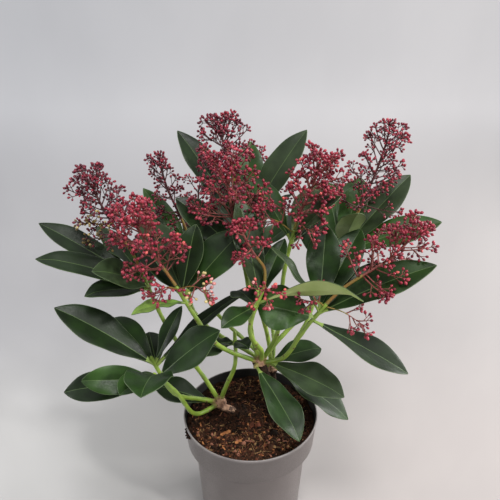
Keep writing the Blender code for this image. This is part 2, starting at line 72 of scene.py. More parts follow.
# Woody bases: the flare at the foot, the waist as a share of the ends, and the rings of the swollen fork
FLARE_HEIGHT = 2.5
TALL_TRUNK = 30.0
WAIST = 0.72
KNOB = ((-0.6, 0.8), (0, 1), (0.6, 0.8), (0.88, 0.47))

# Limbs
STEM_FOOT_RADIUS = 2.2
STEM_TIP_RADIUS = 1.9
TWIG_TIP_RADIUS = 1.7
STALK_RADIUS = 1.5
LIMB_SPACING = 16.0
LEAD = 2.5

# Leaves
LEAF_THICKNESS = 1.7
LEAF_STATIONS = (0.1, 0.26, 0.46, 0.68, 0.87)
PETIOLE_HALF_WIDTH = 1.3
BASE_POWER = 1.5
TIP_POWER = 0.92
LEAF_FOLD = 14.0
LEAF_CLEARANCE = 0.5
OWN_SPACE_FROM = 0.3

FILL_LENGTH = (66, 92)
FILL_RISE = (4, 46)
FILL_SLENDER = (0.34, 0.4)


def nudges(first, second, weight):
    """Pairs of small turns, the least first."""
    pairs = ((a, b) for a in first for b in second)
    return sorted(pairs, key=lambda pair: abs(pair[0]) + abs(pair[1]) * weight)


NUDGES = nudges(range(-24, 25, 6), range(-24, 25, 8), 0.8)

# Buds
BUD_RADIUS = 3.0
BRANCH_RADIUS = 0.9
BUD_WAIST = 0.9
BUD_LENGTH = 2.2
BUD_CLEARANCE = 0.4
HEAD_LEAN = (14, 62)
BRANCH_NUDGES = nudges(range(-30, 41, 10), range(-45, 46, 15), 0.7)

# Planned and finer side branches: how far up they reach, first turn, and spans of turn, lean and length
PLANNED = (0.94, 0, (-18, 18), (-8, 8), (0.82, 1.05))
FINER = (0.97, 70, (-25, 25), (-8, 14), (0.45, 0.92))

Base = namedtuple("Base", "name foot fork foot_radius fork_radius")
Shoot = namedtuple("Shoot", "name base leave foot axis twig")
Leaf = namedtuple("Leaf", "heading rise length width bend roll top", defaults=(None,))
Head = namedtuple("Head", "name shoot tip bare spread branches taper seed mix")

BASES = (
    Base("woody_base_left", (-16, 8), (-30, 6, 129), 7.5, 6.4),
    Base("woody_base_right", (29, 6), (9, 2, 181), 7.5, 7.0),
    Base("woody_base_rear", (22, 32), (21, 37, 146), 7.5, 6.8),
)
LEFT, RIGHT, REAR = BASES

# Each shoot: its woody base, the way it leaves it, and the foot, way and length of its leafy twig
SHOOTS = [Shoot(*row) for row in (
    ("low_front", LEFT, (220, -6), (-74, -40, 192), (195, 50), 14),
    ("low_left", LEFT, (190, 22), (-80, -27, 191), (160, 65), 18),
    ("base_left", LEFT, (172, -10), None, (172, -10), 6),
    ("left", LEFT, (165, 62), (-86, 0, 253), (160, 70), 22),
    ("centre", RIGHT, (285, 60), (3, -32, 258), (30, 66), 20),
    ("mid_left", RIGHT, (195, 30), (-50, -30, 260), (165, 60), 22),
    ("back_left", REAR, (200, 52), (-59, 45, 238), (70, 78), 22),
    ("top", REAR, (110, 80), (-6, 34, 290), (110, 78), 20),
    ("top_front", RIGHT, (170, 72), (-5, 2, 280), (185, 78), 20),
    ("upper_right", RIGHT, (5, 58), (32, 6, 292), (30, 75), 22),
    ("right", RIGHT, (325, 25), (50, -27, 244), (345, 58), 24),
    ("back_right", RIGHT, (45, 28), (80, 38, 268), (20, 70), 22),
    ("low_right", RIGHT, (240, 4), None, (240, 4), 8),
    ("base_right", RIGHT, (350, 2), None, (350, 2), 7),
    ("inner", LEFT, (20, 72), (-14, 4, 198), (100, 70), 14),
    ("rear_left", REAR, (140, 35), (-50, 76, 232), (110, 60), 22),
    ("rear", REAR, (75, 45), (8, 88, 246), (90, 64), 22),
    ("rear_right", REAR, (20, 45), (70, 78, 222), (65, 60), 22),
)]

# The planned leaves by shoot, some with a green of their own on top; the deep and dark greens given here are
# in part painted shade, the grey in part painted sheen
LEAVES = {shoot: [Leaf(*row) for row in rows] for shoot, rows in {
    "low_front": (
        (183, -6, 86, 27, 25, -35, "deep"), (197, 12, 66, 24, 35, -50, "mid"),
        (266, 27, 64, 38, 60, 0, "dark"), (238, 20, 50, 28, 40, 0), (352, 45, 76, 32, 20, 40, "dark"),
    ),
    "low_left": (
        (180, 37, 100, 32, 22, -25, "deep"), (142, 18, 72, 34, 30, -15, "dark"),
        (108, 22, 42, 24, 20, 0), (14, 34, 104, 26, 25, 4, "deep"), (48, 46, 56, 22, 15, 8),
        (30, 28, 56, 18, 20, -6),
    ),
    "base_left": ((178, 20, 60, 27, 20, -20),),
    "left": (
        (168, 29, 110, 25, 14, -22, "deep"), (189, 23, 97, 26, 28, -20, "deep"),
        (214, 20, 58, 26, 25, -10, "deep"), (232, 36, 66, 28, 30, -40, "grey"),
    ),
    "mid_left": (
        (205, 2, 46, 18, 30, 4, "young"), (58, 68, 60, 23, 15, 20, "deep"),
        (25, 43, 74, 33, 15, 30, "dark"), (128, 20, 74, 30, 25, 0),
    ),
    "back_left": ((152, 60, 92, 28, 15, -10), (222, 62, 62, 26, 10, -10, "olive"), (350, 66, 64, 26, 10, 0)),
    "top": (
        (152, 52, 106, 28, 15, -22), (30, 52, 106, 30, 15, 20, "grey"), (82, 55, 84, 30, 10, 0),
        (8, 38, 56, 20, 15, -6),
    ),
    "top_front": ((168, 42, 76, 30, 20, -30), (195, 30, 50, 28, 20, -30)),
    "centre": (
        (125, 70, 84, 28, 8, 0), (331, 19, 94, 20, 48, -52), (122, 2, 32, 24, 20, 0),
        (230, 2, 42, 18, 25, -20), (60, 40, 60, 19, 10, 0),
    ),
    "right": (
        (178, 50, 72, 20, 15, 0), (342, -23, 90, 28, 8, 12, "deep"), (174, 12, 50, 38, 22, -48, "mid"),
        (354, 30, 104, 30, 20, 25), (18, 26, 80, 30, 20, 25), (80, 56, 74, 29, 10, 0),
        (52, 40, 86, 29, 15, 10),
    ),
    "upper_right": ((55, 40, 62, 26, 20, 0, "olive"), (340, 50, 60, 26, 15, 20)),
    "back_right": (
        (26, 42, 96, 31, 15, 25, "grey"), (356, 22, 94, 31, 20, 25), (280, 40, 58, 26, 20, 0),
        (60, 50, 66, 26, 15, 0),
    ),
    "low_right": ((302, -24, 78, 31, 14, -6, "dark"),),
    "base_right": (
        (330, -6, 76, 34, 22, 10, "grey"), (343, -31, 92, 31, 16, 8, "dark"), (20, 4, 54, 28, 25, 10),
    ),
    "inner": (
        (330, 14, 22, 18, 20, 10), (195, 2, 24, 18, 20, 0), (186, -12, 44, 26, 20, -10),
        (150, -40, 44, 22, 25, 0),
    ),
}.items()}

# The wine mix of the heads at the back and far left is in part painted shade, as these heads stand against
# the light.
HEADS = [Head(*row) for row in (
    ("far_left", "left", (-127, 5, 351), 0.42, 31, 14, 0.35, 11, "wine"),
    ("left", "mid_left", (-87, -30, 334), 0.3, 33, 18, 0.35, 52, "rose"),
    ("back_left", "back_left", (-79, 50, 356), 0.42, 19, 10, 0.45, 33, "wine"),
    ("top", "top", (-24, 34, 388), 0.6, 28, 13, 0.35, 14, "wine"),
    ("top_front", "top_front", (-19, 2, 362), 0.3, 40, 18, 0.35, 62, "deep"),
    ("upper_right", "upper_right", (54, 14, 360), 0.24, 36, 16, 0.4, 35, "rose"),
    ("back_right", "back_right", (115, 44, 377), 0.32, 35, 18, 0.4, 26, "red"),
    ("right", "right", (125, -26, 321), 0.4, 31, 16, 0.35, 77, "rose"),
    ("centre", "centre", (-6, -30, 328), 0.5, 15, 7, 0.4, 58, "rose"),
    ("rear_left", "rear_left", (-52, 104, 314), 0.3, 27, 8, 0.4, 39, "red"),
    ("rear", "rear", (8, 116, 338), 0.3, 29, 8, 0.4, 20, "red"),
    ("rear_right", "rear_right", (86, 102, 314), 0.3, 27, 8, 0.4, 21, "wine"),
)]

# Small loose sprigs of buds, each rooted in its shoot's leafy twig
SPRIGS = [Head(*row) for row in (
    ("low_left", "mid_left", (-72, -52, 288), 0.35, 15, 6, 0.3, 31, "rose"),
    ("pale", "mid_left", (-34, -46, 286), 0.45, 13, 5, 0.3, 32, "cream"),
    ("low_centre", "centre", (11, -52, 287), 0.35, 15, 5, 0.3, 33, "coral"),
    ("inner_right", "upper_right", (50, -14, 322), 0.4, 16, 6, 0.3, 38, "red"),
    ("low_right", "right", (46, -40, 272), 0.35, 13, 5, 0.3, 34, "red"),
    ("loose", "right", (74, -30, 299), 0.35, 16, 6, 0.2, 35, "coral"),
    ("crown", "upper_right", (9, -8, 332), 0.35, 17, 7, 0.3, 40, "red"),
    ("thin", "right", (90, -46, 254), 0.5, 12, 5, 0.3, 36, "rose"),
)]

# First heading, last heading and number of the leaves that fill a whorl's open sides
FILL = {
    "top_front": (60, 130, 1), "left": (60, 150, 3), "mid_left": (80, 170, 1), "back_left": (10, 190, 3),
    "top": (40, 150, 2), "centre": (60, 120, 1), "upper_right": (40, 160, 2), "back_right": (50, 120, 2),
    "rear_left": (30, 200, 5), "rear": (20, 170, 5), "rear_right": (0, 120, 4),
}


def towards(heading, rise):
    """The direction of a heading and a rise, in degrees."""
    turn, lift = radians(heading), radians(rise)
    return Vector((cos(turn) * cos(lift), sin(turn) * cos(lift), sin(lift)))


def smooth_route(start, leave, end, arrive):
    """A smooth route with given ways out and in, straight for a short lead at its ends."""
    first, last = start + leave * LEAD, end - arrive * LEAD
    reach = (last - first).length
    handles = (first, first + leave * reach * 0.4, last - arrive * reach * 0.4, last)
    count = max(2, round(reach / LIMB_SPACING))
    points = [start]
    for step in range(count + 1):
        t = step / count
        weights = ((1 - t) ** 3, 3 * t * (1 - t) ** 2, 3 * t * t * (1 - t), t ** 3)
        points.append(sum((h * w for h, w in zip(handles, weights)), Vector()))
    return points + [end]


def closed(bm, mesh):
    """Write a closed shape to a mesh, in triangles that face outwards."""
    bmesh.ops.recalc_face_normals(bm, faces=bm.faces)
    bmesh.ops.triangulate(bm, faces=bm.faces)
    bm.to_mesh(mesh)
    bm.free()
    return mesh


def placed(name, data):
    """A new object in the scene."""
    made = bpy.data.objects.new(name, data)
    bpy.context.scene.collection.objects.link(made)
    return made


def skin(rings):
    """A closed mesh through rings; a ring of one point is a tip, and a wider end ring is capped."""
    bm = bmesh.new()
    rows = [[bm.verts.new(point * MM) for point in ring] for ring in rings]
    for low, high in zip(rows, rows[1:]):
        count = max(len(low), len(high))
        for i in range(count):
            j = (i + 1) % count
            corners = (low[i % len(low)], low[j % len(low)], high[j % len(high)], high[i % len(high)])
            bm.faces.new(dict.fromkeys(corners))
    for row in (rows[0], rows[-1]):
        if len(row) > 2:
            bm.faces.new(row)
    return closed(bm, bpy.data.meshes.new("piece"))


def limb(points, radii, resolution=1):
    """A tapering round limb along a route, as a closed mesh."""
    curve = bpy.data.curves.new("limb", "CURVE")
    curve.dimensions = "3D"
    curve.bevel_depth = MM
    curve.bevel_resolution = resolution
    curve.use_fill_caps = True
    spline = curve.splines.new("POLY")
    spline.points.add(len(points) - 1)
    for place, point, radius in zip(spline.points, points, radii):
        place.co = (*(point * MM), 1)
        place.radius = radius
    guide = placed("limb", curve)
    mesh = bpy.data.meshes.new_from_object(guide.evaluated_get(bpy.context.evaluated_depsgraph_get()))
    bpy.data.objects.remove(guide)
    bpy.data.curves.remove(curve)
    bm = bmesh.new()
    bm.from_mesh(mesh)
    bmesh.ops.remove_doubles(bm, verts=bm.verts, dist=0.01 * MM)
    return closed(bm, mesh)


def taper(points, foot_radius, tip_radius):
    """Radii that change evenly along a route."""
    last = len(points) - 1
    return [foot_radius + (tip_radius - foot_radius) * i / last for i in range(last + 1)]


def shape_width(s, width):
    """Half a leaf's width at a share s of its length."""
    peak = BASE_POWER / (BASE_POWER + TIP_POWER)
    top = peak ** BASE_POWER * (1 - peak) ** TIP_POWER
    return width / 2 * s ** BASE_POWER * (1 - s) ** TIP_POWER / top


def half_width(s, width):
    """Half a leaf's width, no narrower than its stalk."""
    return max(PETIOLE_HALF_WIDTH, shape_width(s, width))


def midrib(foot, leaf, s):
    """The point at a share s along a leaf, with its left and its upper side there."""
    half_bend = radians(leaf.bend) / 2
    chord = towards(leaf.heading, leaf.rise)
    left = towards(leaf.heading + 90, 0)
    up = left.cross(chord) * -1
    turned = Matrix.Rotation(radians(leaf.roll), 3, chord)
    left, up = turned @ left, turned @ up
    angle = half_bend * (1 - 2 * s)
    radius = leaf.length / (2 * sin(half_bend))
    along = radius * (sin(half_bend) - sin(angle))
    above = radius * (cos(angle) - cos(half_bend))
    way = chord * cos(angle) + up * sin(angle)
    return foot + chord * along + up * above, left, left.cross(way) * -1


def blade(foot, leaf, extra=0.0, start=0.0):
    """A leaf as a thin closed blade; extra swells it, and start leaves off its root."""
    fold = tan(radians(LEAF_FOLD))
    thick = LEAF_THICKNESS / 2 + extra
    rings = []
    for s in (start, *(s for s in LEAF_STATIONS if s > start)):
        centre, left, up = midrib(foot, leaf, s)
        half = half_width(s, leaf.width) + extra
        edge = up * half * fold
        sides = (centre - left * half + edge, centre + left * half + edge)
        rings.append([sides[0], centre - up * thick, sides[1], centre + up * thick])
    rings.append([midrib(foot, leaf, 1.0)[0]])
    return skin(rings)


def bud(foot, way, stalk, extra=0.0):
    """A large bud on its stalk, as one three-sided drumstick."""
    side = way.orthogonal().normalized()
    spokes = [Matrix.Rotation(tau * k / 3, 3, way) @ side for k in range(3)]
    rings = []
    shape = ((0.0, BRANCH_RADIUS), (stalk, BRANCH_RADIUS), (stalk + BUD_RADIUS * BUD_WAIST, BUD_RADIUS))
    for reach, radius in shape:
        rings.append([foot + way * reach + spoke * (radius + extra) for spoke in spokes])
    rings.append([foot + way * (stalk + BUD_RADIUS * BUD_LENGTH + extra)])
    return skin(rings)


class Space:
    """What stands where, so that a leaf or a bud that would touch it can be turned or left out."""

    def __init__(self):
        self.pieces = []
        self.outer_blades = {}

    def add(self, owner, mesh):
        self.pieces.append((owner, tree_of(mesh)))

    def is_free(self, owner, mesh):
        """Whether a piece of this owner's would touch no other owner's."""
        tree = tree_of(mesh)
        return not any(name != owner and tree.overlap(other) for name, other in self.pieces)

    def is_apart(self, owner, outer):
        """Whether the outer part of a leaf would touch no other leaf of its own whorl."""
        tree = tree_of(outer)
        return not any(tree.overlap(other) for other in self.outer_blades.get(owner, ()))

    def add_leaf(self, owner, whole, outer):
        self.add(owner, whole)
        self.outer_blades.setdefault(owner, []).append(tree_of(outer))


def tree_of(mesh):
    """A search tree of a mesh's faces."""
    return BVHTree.FromPolygons([v.co for v in mesh.vertices], [p.vertices for p in mesh.polygons])


def soil_height(x, y):
    """The lumpy top of the peat, level where the woody bases stand."""
    lumps = noise.noise(Vector((x, y, 0)) / 11) + 0.5 * noise.noise(Vector((x, y, 40)) / 5)
    near = min(hypot(x - base.foot[0], y - base.foot[1]) - base.foot_radius for base in BASES)
    level = max(0.0, min(1.0, (near - 1) / 8))
    return SOIL_LEVEL + SOIL_BUMP * lumps * level


def trunk_profile(base):
    """Centres and radii up a woody base, flared at the soil and swollen at its fork."""
    foot, fork = Vector((*base.foot, SOIL_LEVEL + GAP)), Vector(base.fork)
    swell = base.fork_radius
    waist = swell * WAIST
    rise = fork - foot
    profile = [(foot, base.foot_radius)]
    profile.append((foot + rise * min(0.3, FLARE_HEIGHT / rise.length), base.foot_radius * WAIST))
    if rise.length > TALL_TRUNK:
        profile += [(foot + rise * 0.25, waist * 1.1), (foot + rise * 0.55, waist)]
        profile.append((foot + rise * (1 - 1.3 * swell / rise.length), waist))
    profile += [(fork + Vector((0, 0, lift * swell)), width * swell) for lift, width in KNOB]
    return profile, fork + Vector((0, 0, swell))


def woody_base(base):
    """The solid of a woody base."""
    profile, top = trunk_profile(base)
    rings = [[centre + towards(45 * k, 0) * radius for k in range(8)] for centre, radius in profile]
    return skin(rings + [[top]])


def stem_start(shoot):
    """Where a shoot leaves its woody base, just clear of it."""
    return Vector(shoot.base.fork) + towards(*shoot.leave) * (shoot.base.fork_radius + GAP)


def stem_route(shoot):
    """The route of a shoot's bare stem."""
    return smooth_route(stem_start(shoot), towards(*shoot.leave), Vector(shoot.foot), towards(*shoot.axis))


def twig_foot(shoot):
    """The foot of a shoot's twig, just clear of what carries it."""
    if shoot.foot is None:
        return stem_start(shoot)
    return Vector(shoot.foot) + towards(*shoot.axis) * GAP


def leaf_foot(shoot, leaf):
    """Where a leaf is rooted: the more upright it is, the higher up its twig."""
    share = min(0.55, max(0.1, (leaf.rise + 35) / 170))
    return twig_foot(shoot) + towards(*shoot.axis) * shoot.twig * share


def more_leaves(shoot, rng):
    """Leaves that the rule adds on a whorl's open sides."""
    first, last, count = FILL.get(shoot.name, (0, 0, 0))
    for k in range(count):
        heading = first + (last - first) * (k + 0.5) / count + rng.uniform(-8, 8)
        length = rng.uniform(*FILL_LENGTH)
        rise = rng.uniform(*FILL_RISE)
        width = length * rng.uniform(*FILL_SLENDER)
        yield Leaf(heading, rise, length, width, rng.uniform(15, 35), rng.uniform(-15, 15))


def settle(shoot, leaf, space):
    """The leaf as planned, or turned a little to clear what is near; else None."""
    owner = "leaves_" + shoot.name
    for rise, heading in NUDGES:
        tried = leaf._replace(rise=leaf.rise + rise, heading=leaf.heading + heading)
        foot = leaf_foot(shoot, tried)
        whole = blade(foot, tried, LEAF_CLEARANCE)
        outer = blade(foot, tried, 0.0, OWN_SPACE_FROM)
        if space.is_free(owner, whole) and space.is_apart(owner, outer):
            space.add_leaf(owner, whole, outer)
            return tried
    return None


def head_route(head):
    """The route of a head's stalk, from just above its twig."""
    shoot = next(s for s in SHOOTS if s.name == head.shoot)
    axis = towards(*shoot.axis)
    foot = twig_foot(shoot) + axis * (shoot.twig + GAP)
    tip = Vector(head.tip)
    return smooth_route(foot, axis, tip, ((tip - foot).normalized() + Vector((0, 0, 0.4))).normalized())


def sprig_route(sprig):
    """The route of a sprig's stalk, from inside its twig."""
    shoot = next(s for s in SHOOTS if s.name == sprig.shoot)
    foot = twig_foot(shoot) + towards(*shoot.axis) * shoot.twig * 0.85
    tip = Vector(sprig.tip)
    return [foot, (foot + tip) / 2 + Vector((0, 0, 3)), tip]


def along(route, share):
    """The point and the way on at a share of a route."""
    place_on = share * (len(route) - 1)
    i = min(int(place_on), len(route) - 2)
    return route[i].lerp(route[i + 1], place_on - i), (route[i + 1] - route[i]).normalized()


def side_branches(head, route, seed, count, reach, first, turns, leans, lengths):
    """Foot, stalk's way, turn, lean and length of each side branch."""
    rng = random.Random(seed)
    for k in range(count):
        u = (k + 0.5) / count
        foot, way = along(route, head.bare + (1 - head.bare) * u * reach)
        turn = GOLDEN_ANGLE * k + first + rng.uniform(*turns)
        lean = HEAD_LEAN[0] + (HEAD_LEAN[1] - HEAD_LEAN[0]) * u + rng.uniform(*leans)
        yield foot, way, turn, lean, head.spread * (1 - head.taper * u) * rng.uniform(*lengths)


def square_to(way, turn):
    """A way square to another, turned about it."""
    return Matrix.Rotation(radians(turn), 3, way) @ way.orthogonal().normalized()


def aimed(way, turn, lean):
    """A way off a stalk: turned about it, and leaning up from square to it."""
    return way * sin(radians(lean)) + square_to(way, turn) * cos(radians(lean))


def settle_branch(name, branch, space):
    """A side branch as planned, or turned a little to clear other nodes; else None."""
    foot, stalk_way, turn, lean, length = branch
    for more_lean, more_turn in BRANCH_NUDGES:
        way = aimed(stalk_way, turn + more_turn, lean + more_lean)
        if space.is_free(name, bud(foot, way, length, BUD_CLEARANCE)):
            return foot, way, length
    return None


def settle_branches(name, planned, space):
    """Foot, way and length of each side branch that has room."""
    settled = [settle_branch(name, branch, space) for branch in planned]
    return [branch for branch in settled if branch]


def settle_head(name, head, route, space):
    """A head's planned side branches, and the bud at its stalk's tip."""
    settled = settle_branches(name, side_branches(head, route, head.seed, head.branches, *PLANNED), space)
    settled.append((route[-1], (route[-1] - route[-2]).normalized(), 0.5))
    for branch in settled:
        space.add(name, bud(*branch))
    return settled


def grow():
    """Settle the plan among the frame's pot and peat, then the leaves and branches that the rule adds."""
    space = Space()
    leaves, branches, sprigs = {}, {}, []
    for name in ("pot", "soil"):
        space.add(name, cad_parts[name].data)
    for base in BASES:
        space.add(base.name, woody_base(base))
    for shoot in SHOOTS:
        if shoot.foot is not None:
            route = stem_route(shoot)
            space.add("stem_" + shoot.name, limb(route, taper(route, STEM_FOOT_RADIUS, STEM_TIP_RADIUS)))
        foot = twig_foot(shoot)
        tip = foot + towards(*shoot.axis) * shoot.twig
        space.add("leaves_" + shoot.name, limb([foot, tip], [STEM_TIP_RADIUS, TWIG_TIP_RADIUS], 0))
    for head in HEADS:
        route = head_route(head)
        space.add("flower_head_" + head.name, limb(route, taper(route, STALK_RADIUS, STALK_RADIUS * 0.6), 0))
    for shoot in SHOOTS:
        leaves[shoot.name] = [settle(shoot, leaf, space) for leaf in LEAVES.get(shoot.name, ())]
    for head in HEADS:
        branches[head.name] = settle_head("flower_head_" + head.name, head, head_route(head), space)
    for sprig in SPRIGS:
        owner = "leaves_" + sprig.shoot
        route = sprig_route(sprig)
        stalk = limb(route, taper(route, BRANCH_RADIUS, BRANCH_RADIUS), 0)
        if space.is_free(owner, stalk):
            space.add(owner, stalk)
            sprigs.append((sprig, settle_head(owner, sprig, route, space)))
    for number, shoot in enumerate(SHOOTS):
        rng = random.Random(number)
        leaves[shoot.name] += [settle(shoot, leaf, space) for leaf in more_leaves(shoot, rng)]
    for head in HEADS:
        count = round(head.branches * DENSE_HEADS.get(head.name, MORE_BRANCHES))
        planned = side_branches(head, head_route(head), head.seed + FINER_SEED, count, *FINER)
        branches[head.name] += settle_branches("flower_head_" + head.name, planned, space)
    return leaves, branches, sprigs


class Sheaf:
    """Shapes gathered for one joined piece, with a finish for each face."""

    def __init__(self):
        self.points, self.faces, self.finishes = [], [], []

    def loft(self, rings, finish):
        """A closed tube through equal rings; finish is a name, or gives one by ring and corner."""
        start, count = len(self.points), len(rings[0])
        pick = finish if callable(finish) else lambda ring, corner: finish
        for ring in rings:
            self.points += ring
        for r in range(len(rings) - 1):
            low = start + r * count
            for k in range(count):
                n = (k + 1) % count
                self.faces.append((low + k, low + n, low + count + n, low + count + k))
                self.finishes.append(pick(r, k))
        last = start + (len(rings) - 1) * count
        self.faces += [tuple(range(start + count - 1, start - 1, -1)), tuple(range(last, last + count))]
        self.finishes += [pick(0, 0), pick(len(rings) - 2, 0)]

    def piece(self, name, slot, nodes=(), smooth=True):
        """One object of all that was gathered, on the body, in place of the nodes it stands for."""
        mesh = bpy.data.meshes.new(name)
        mesh.from_pydata([(p * MM)[:] for p in self.points], [], self.faces)
        used = sorted(set(self.finishes))
        for finish in used:
            mesh.materials.append(FINISHES[finish])
        number = {finish: k for k, finish in enumerate(used)}
        mesh.polygons.foreach_set("material_index", [number[finish] for finish in self.finishes])
        bm = bmesh.new()
        bm.from_mesh(mesh)
        bmesh.ops.recalc_face_normals(bm, faces=bm.faces)
        bm.to_mesh(mesh)
        bm.free()
        mesh.polygons.foreach_set("use_smooth", [smooth] * len(mesh.polygons))
        obj = placed(name, mesh)
        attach(obj, "root")
        if nodes:
            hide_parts(*nodes)


def smooth_step(low, high, value):
    """A smooth rise from 0 at low to 1 at high."""
    t = max(0.0, min(1.0, (value - low) / (high - low)))
    return t * t * (3 - 2 * t)


def finer(route, steps):
    """A smooth curve through a route, with steps points for each of its own."""
    padded = [route[0] * 2 - route[1], *route, route[-1] * 2 - route[-2]]
    points = []
    for i in range(1, len(padded) - 2):
        before, start, end, after = padded[i - 1:i + 3]
        for k in range(steps):
            t = k / steps
            square = (before * 2 - start * 5 + end * 4 - after) * t * t
            cube = (start * 3 - before - end * 3 + after) * t ** 3
            points.append((start * 2 + (end - before) * t + (square + cube)) / 2)
    return points + [route[-1]]


def tube_rings(points, radii, sides, spin=0.0):
    """Rings of a round tube that doesn't twist."""
    rings = []
    side = (points[1] - points[0]).normalized().orthogonal().normalized()
    for i, point in enumerate(points):
        way = (points[min(i + 1, len(points) - 1)] - points[max(i - 1, 0)]).normalized()
        side = (side - way * side.dot(way)).normalized()
        across = way.cross(side)
        ring = []
        for k in range(sides):
            angle = tau * k / sides + spin
            ring.append(point + (side * cos(angle) + across * sin(angle)) * radii[i])
        rings.append(ring)
    return rings


# Finishes

def feed(made, *values, **named):
    """Set a node's inputs, by number or name, to a value or to the output of another node."""
    for key, value in (*enumerate(values), *named.items()):
        socket = made.inputs[key if isinstance(key, int) else key.replace("_", " ")]
        if isinstance(value, bpy.types.NodeSocket):
            made.id_data.links.new(value, socket)
        else:
            socket.default_value = value


def node(tree, kind, output, **named):
    """The output of a new shader node."""
    made = tree.nodes.new("ShaderNode" + kind)
    feed(made, **named)
    return made.outputs[output]


def maths(tree, operation, *values):
    """The result of a sum."""
    made = tree.nodes.new("ShaderNodeMath")
    made.operation = operation
    feed(made, *values)
    return made.outputs["Value"]


def ramp(tree, value, low, high, to_low=0.0, to_high=1.0, kind="LINEAR"):
    """A value brought from one span to another."""
    made = tree.nodes.new("ShaderNodeMapRange")
    made.interpolation_type = kind
    feed(made, Value=value, From_Min=low, From_Max=high, To_Min=to_low, To_Max=to_high)
    return made.outputs["Result"]


def mixed(tree, factor, first, second, way="MIX"):
    """Two colours mixed by a factor."""
    made = tree.nodes.new("ShaderNodeMix")
    made.data_type = "RGBA"
    made.blend_type = way
    feed(made, Factor=factor, A=first, B=second)
    return made.outputs["Result"]


def srgb(*values):
    """The linear colour of three sRGB values from 0 to 255."""
    return (*(((v / 255 + 0.055) / 1.055) ** 2.4 if v > 10 else v / 255 / 12.92 for v in values), 1)


BLOTCH_SPREAD = 0.16
GLOSS_SPREAD = 0.06


def finish(name, colour, second, roughness, scale=0.02, bump=0.0, grain=0.0015, specular=0.5):
    """A procedural finish: two mixed colours, uneven gloss and fine grain."""
    made = bpy.data.materials.new(name)
    made.use_nodes = True
    tree = made.node_tree
    shader = tree.nodes["Principled BSDF"]
    where = node(tree, "TexCoord", "Object")
    blotches = node(tree, "TexNoise", "Fac", Vector=where, Scale=1 / scale, Detail=4)
    share = ramp(tree, blotches, 0.5 - BLOTCH_SPREAD, 0.5 + BLOTCH_SPREAD)
    grains = node(tree, "TexNoise", "Fac", Vector=where, Scale=1 / grain, Detail=3)
    gloss = ramp(tree, grains, 0.3, 0.7, roughness - GLOSS_SPREAD, roughness + GLOSS_SPREAD)
    feed(shader, Base_Color=mixed(tree, share, colour, second), Roughness=gloss, Specular_IOR_Level=specular)
    if bump:
        feed(shader, Normal=node(tree, "Bump", "Normal", Height=grains, Strength=1.0, Distance=bump))
    return made


LEAF_LOOK = (0.42, 0.02, 0.00008, 0.0015, 0.22)
STALK_LOOK = (0.5, 0.01, 0.0001)
BUD_LOOK = (0.36, 0.003, 0.0, 0.0015, 0.38)
PEAT_LOOK = (0.95, 0.003, 0.0, 0.0015, 0.15)

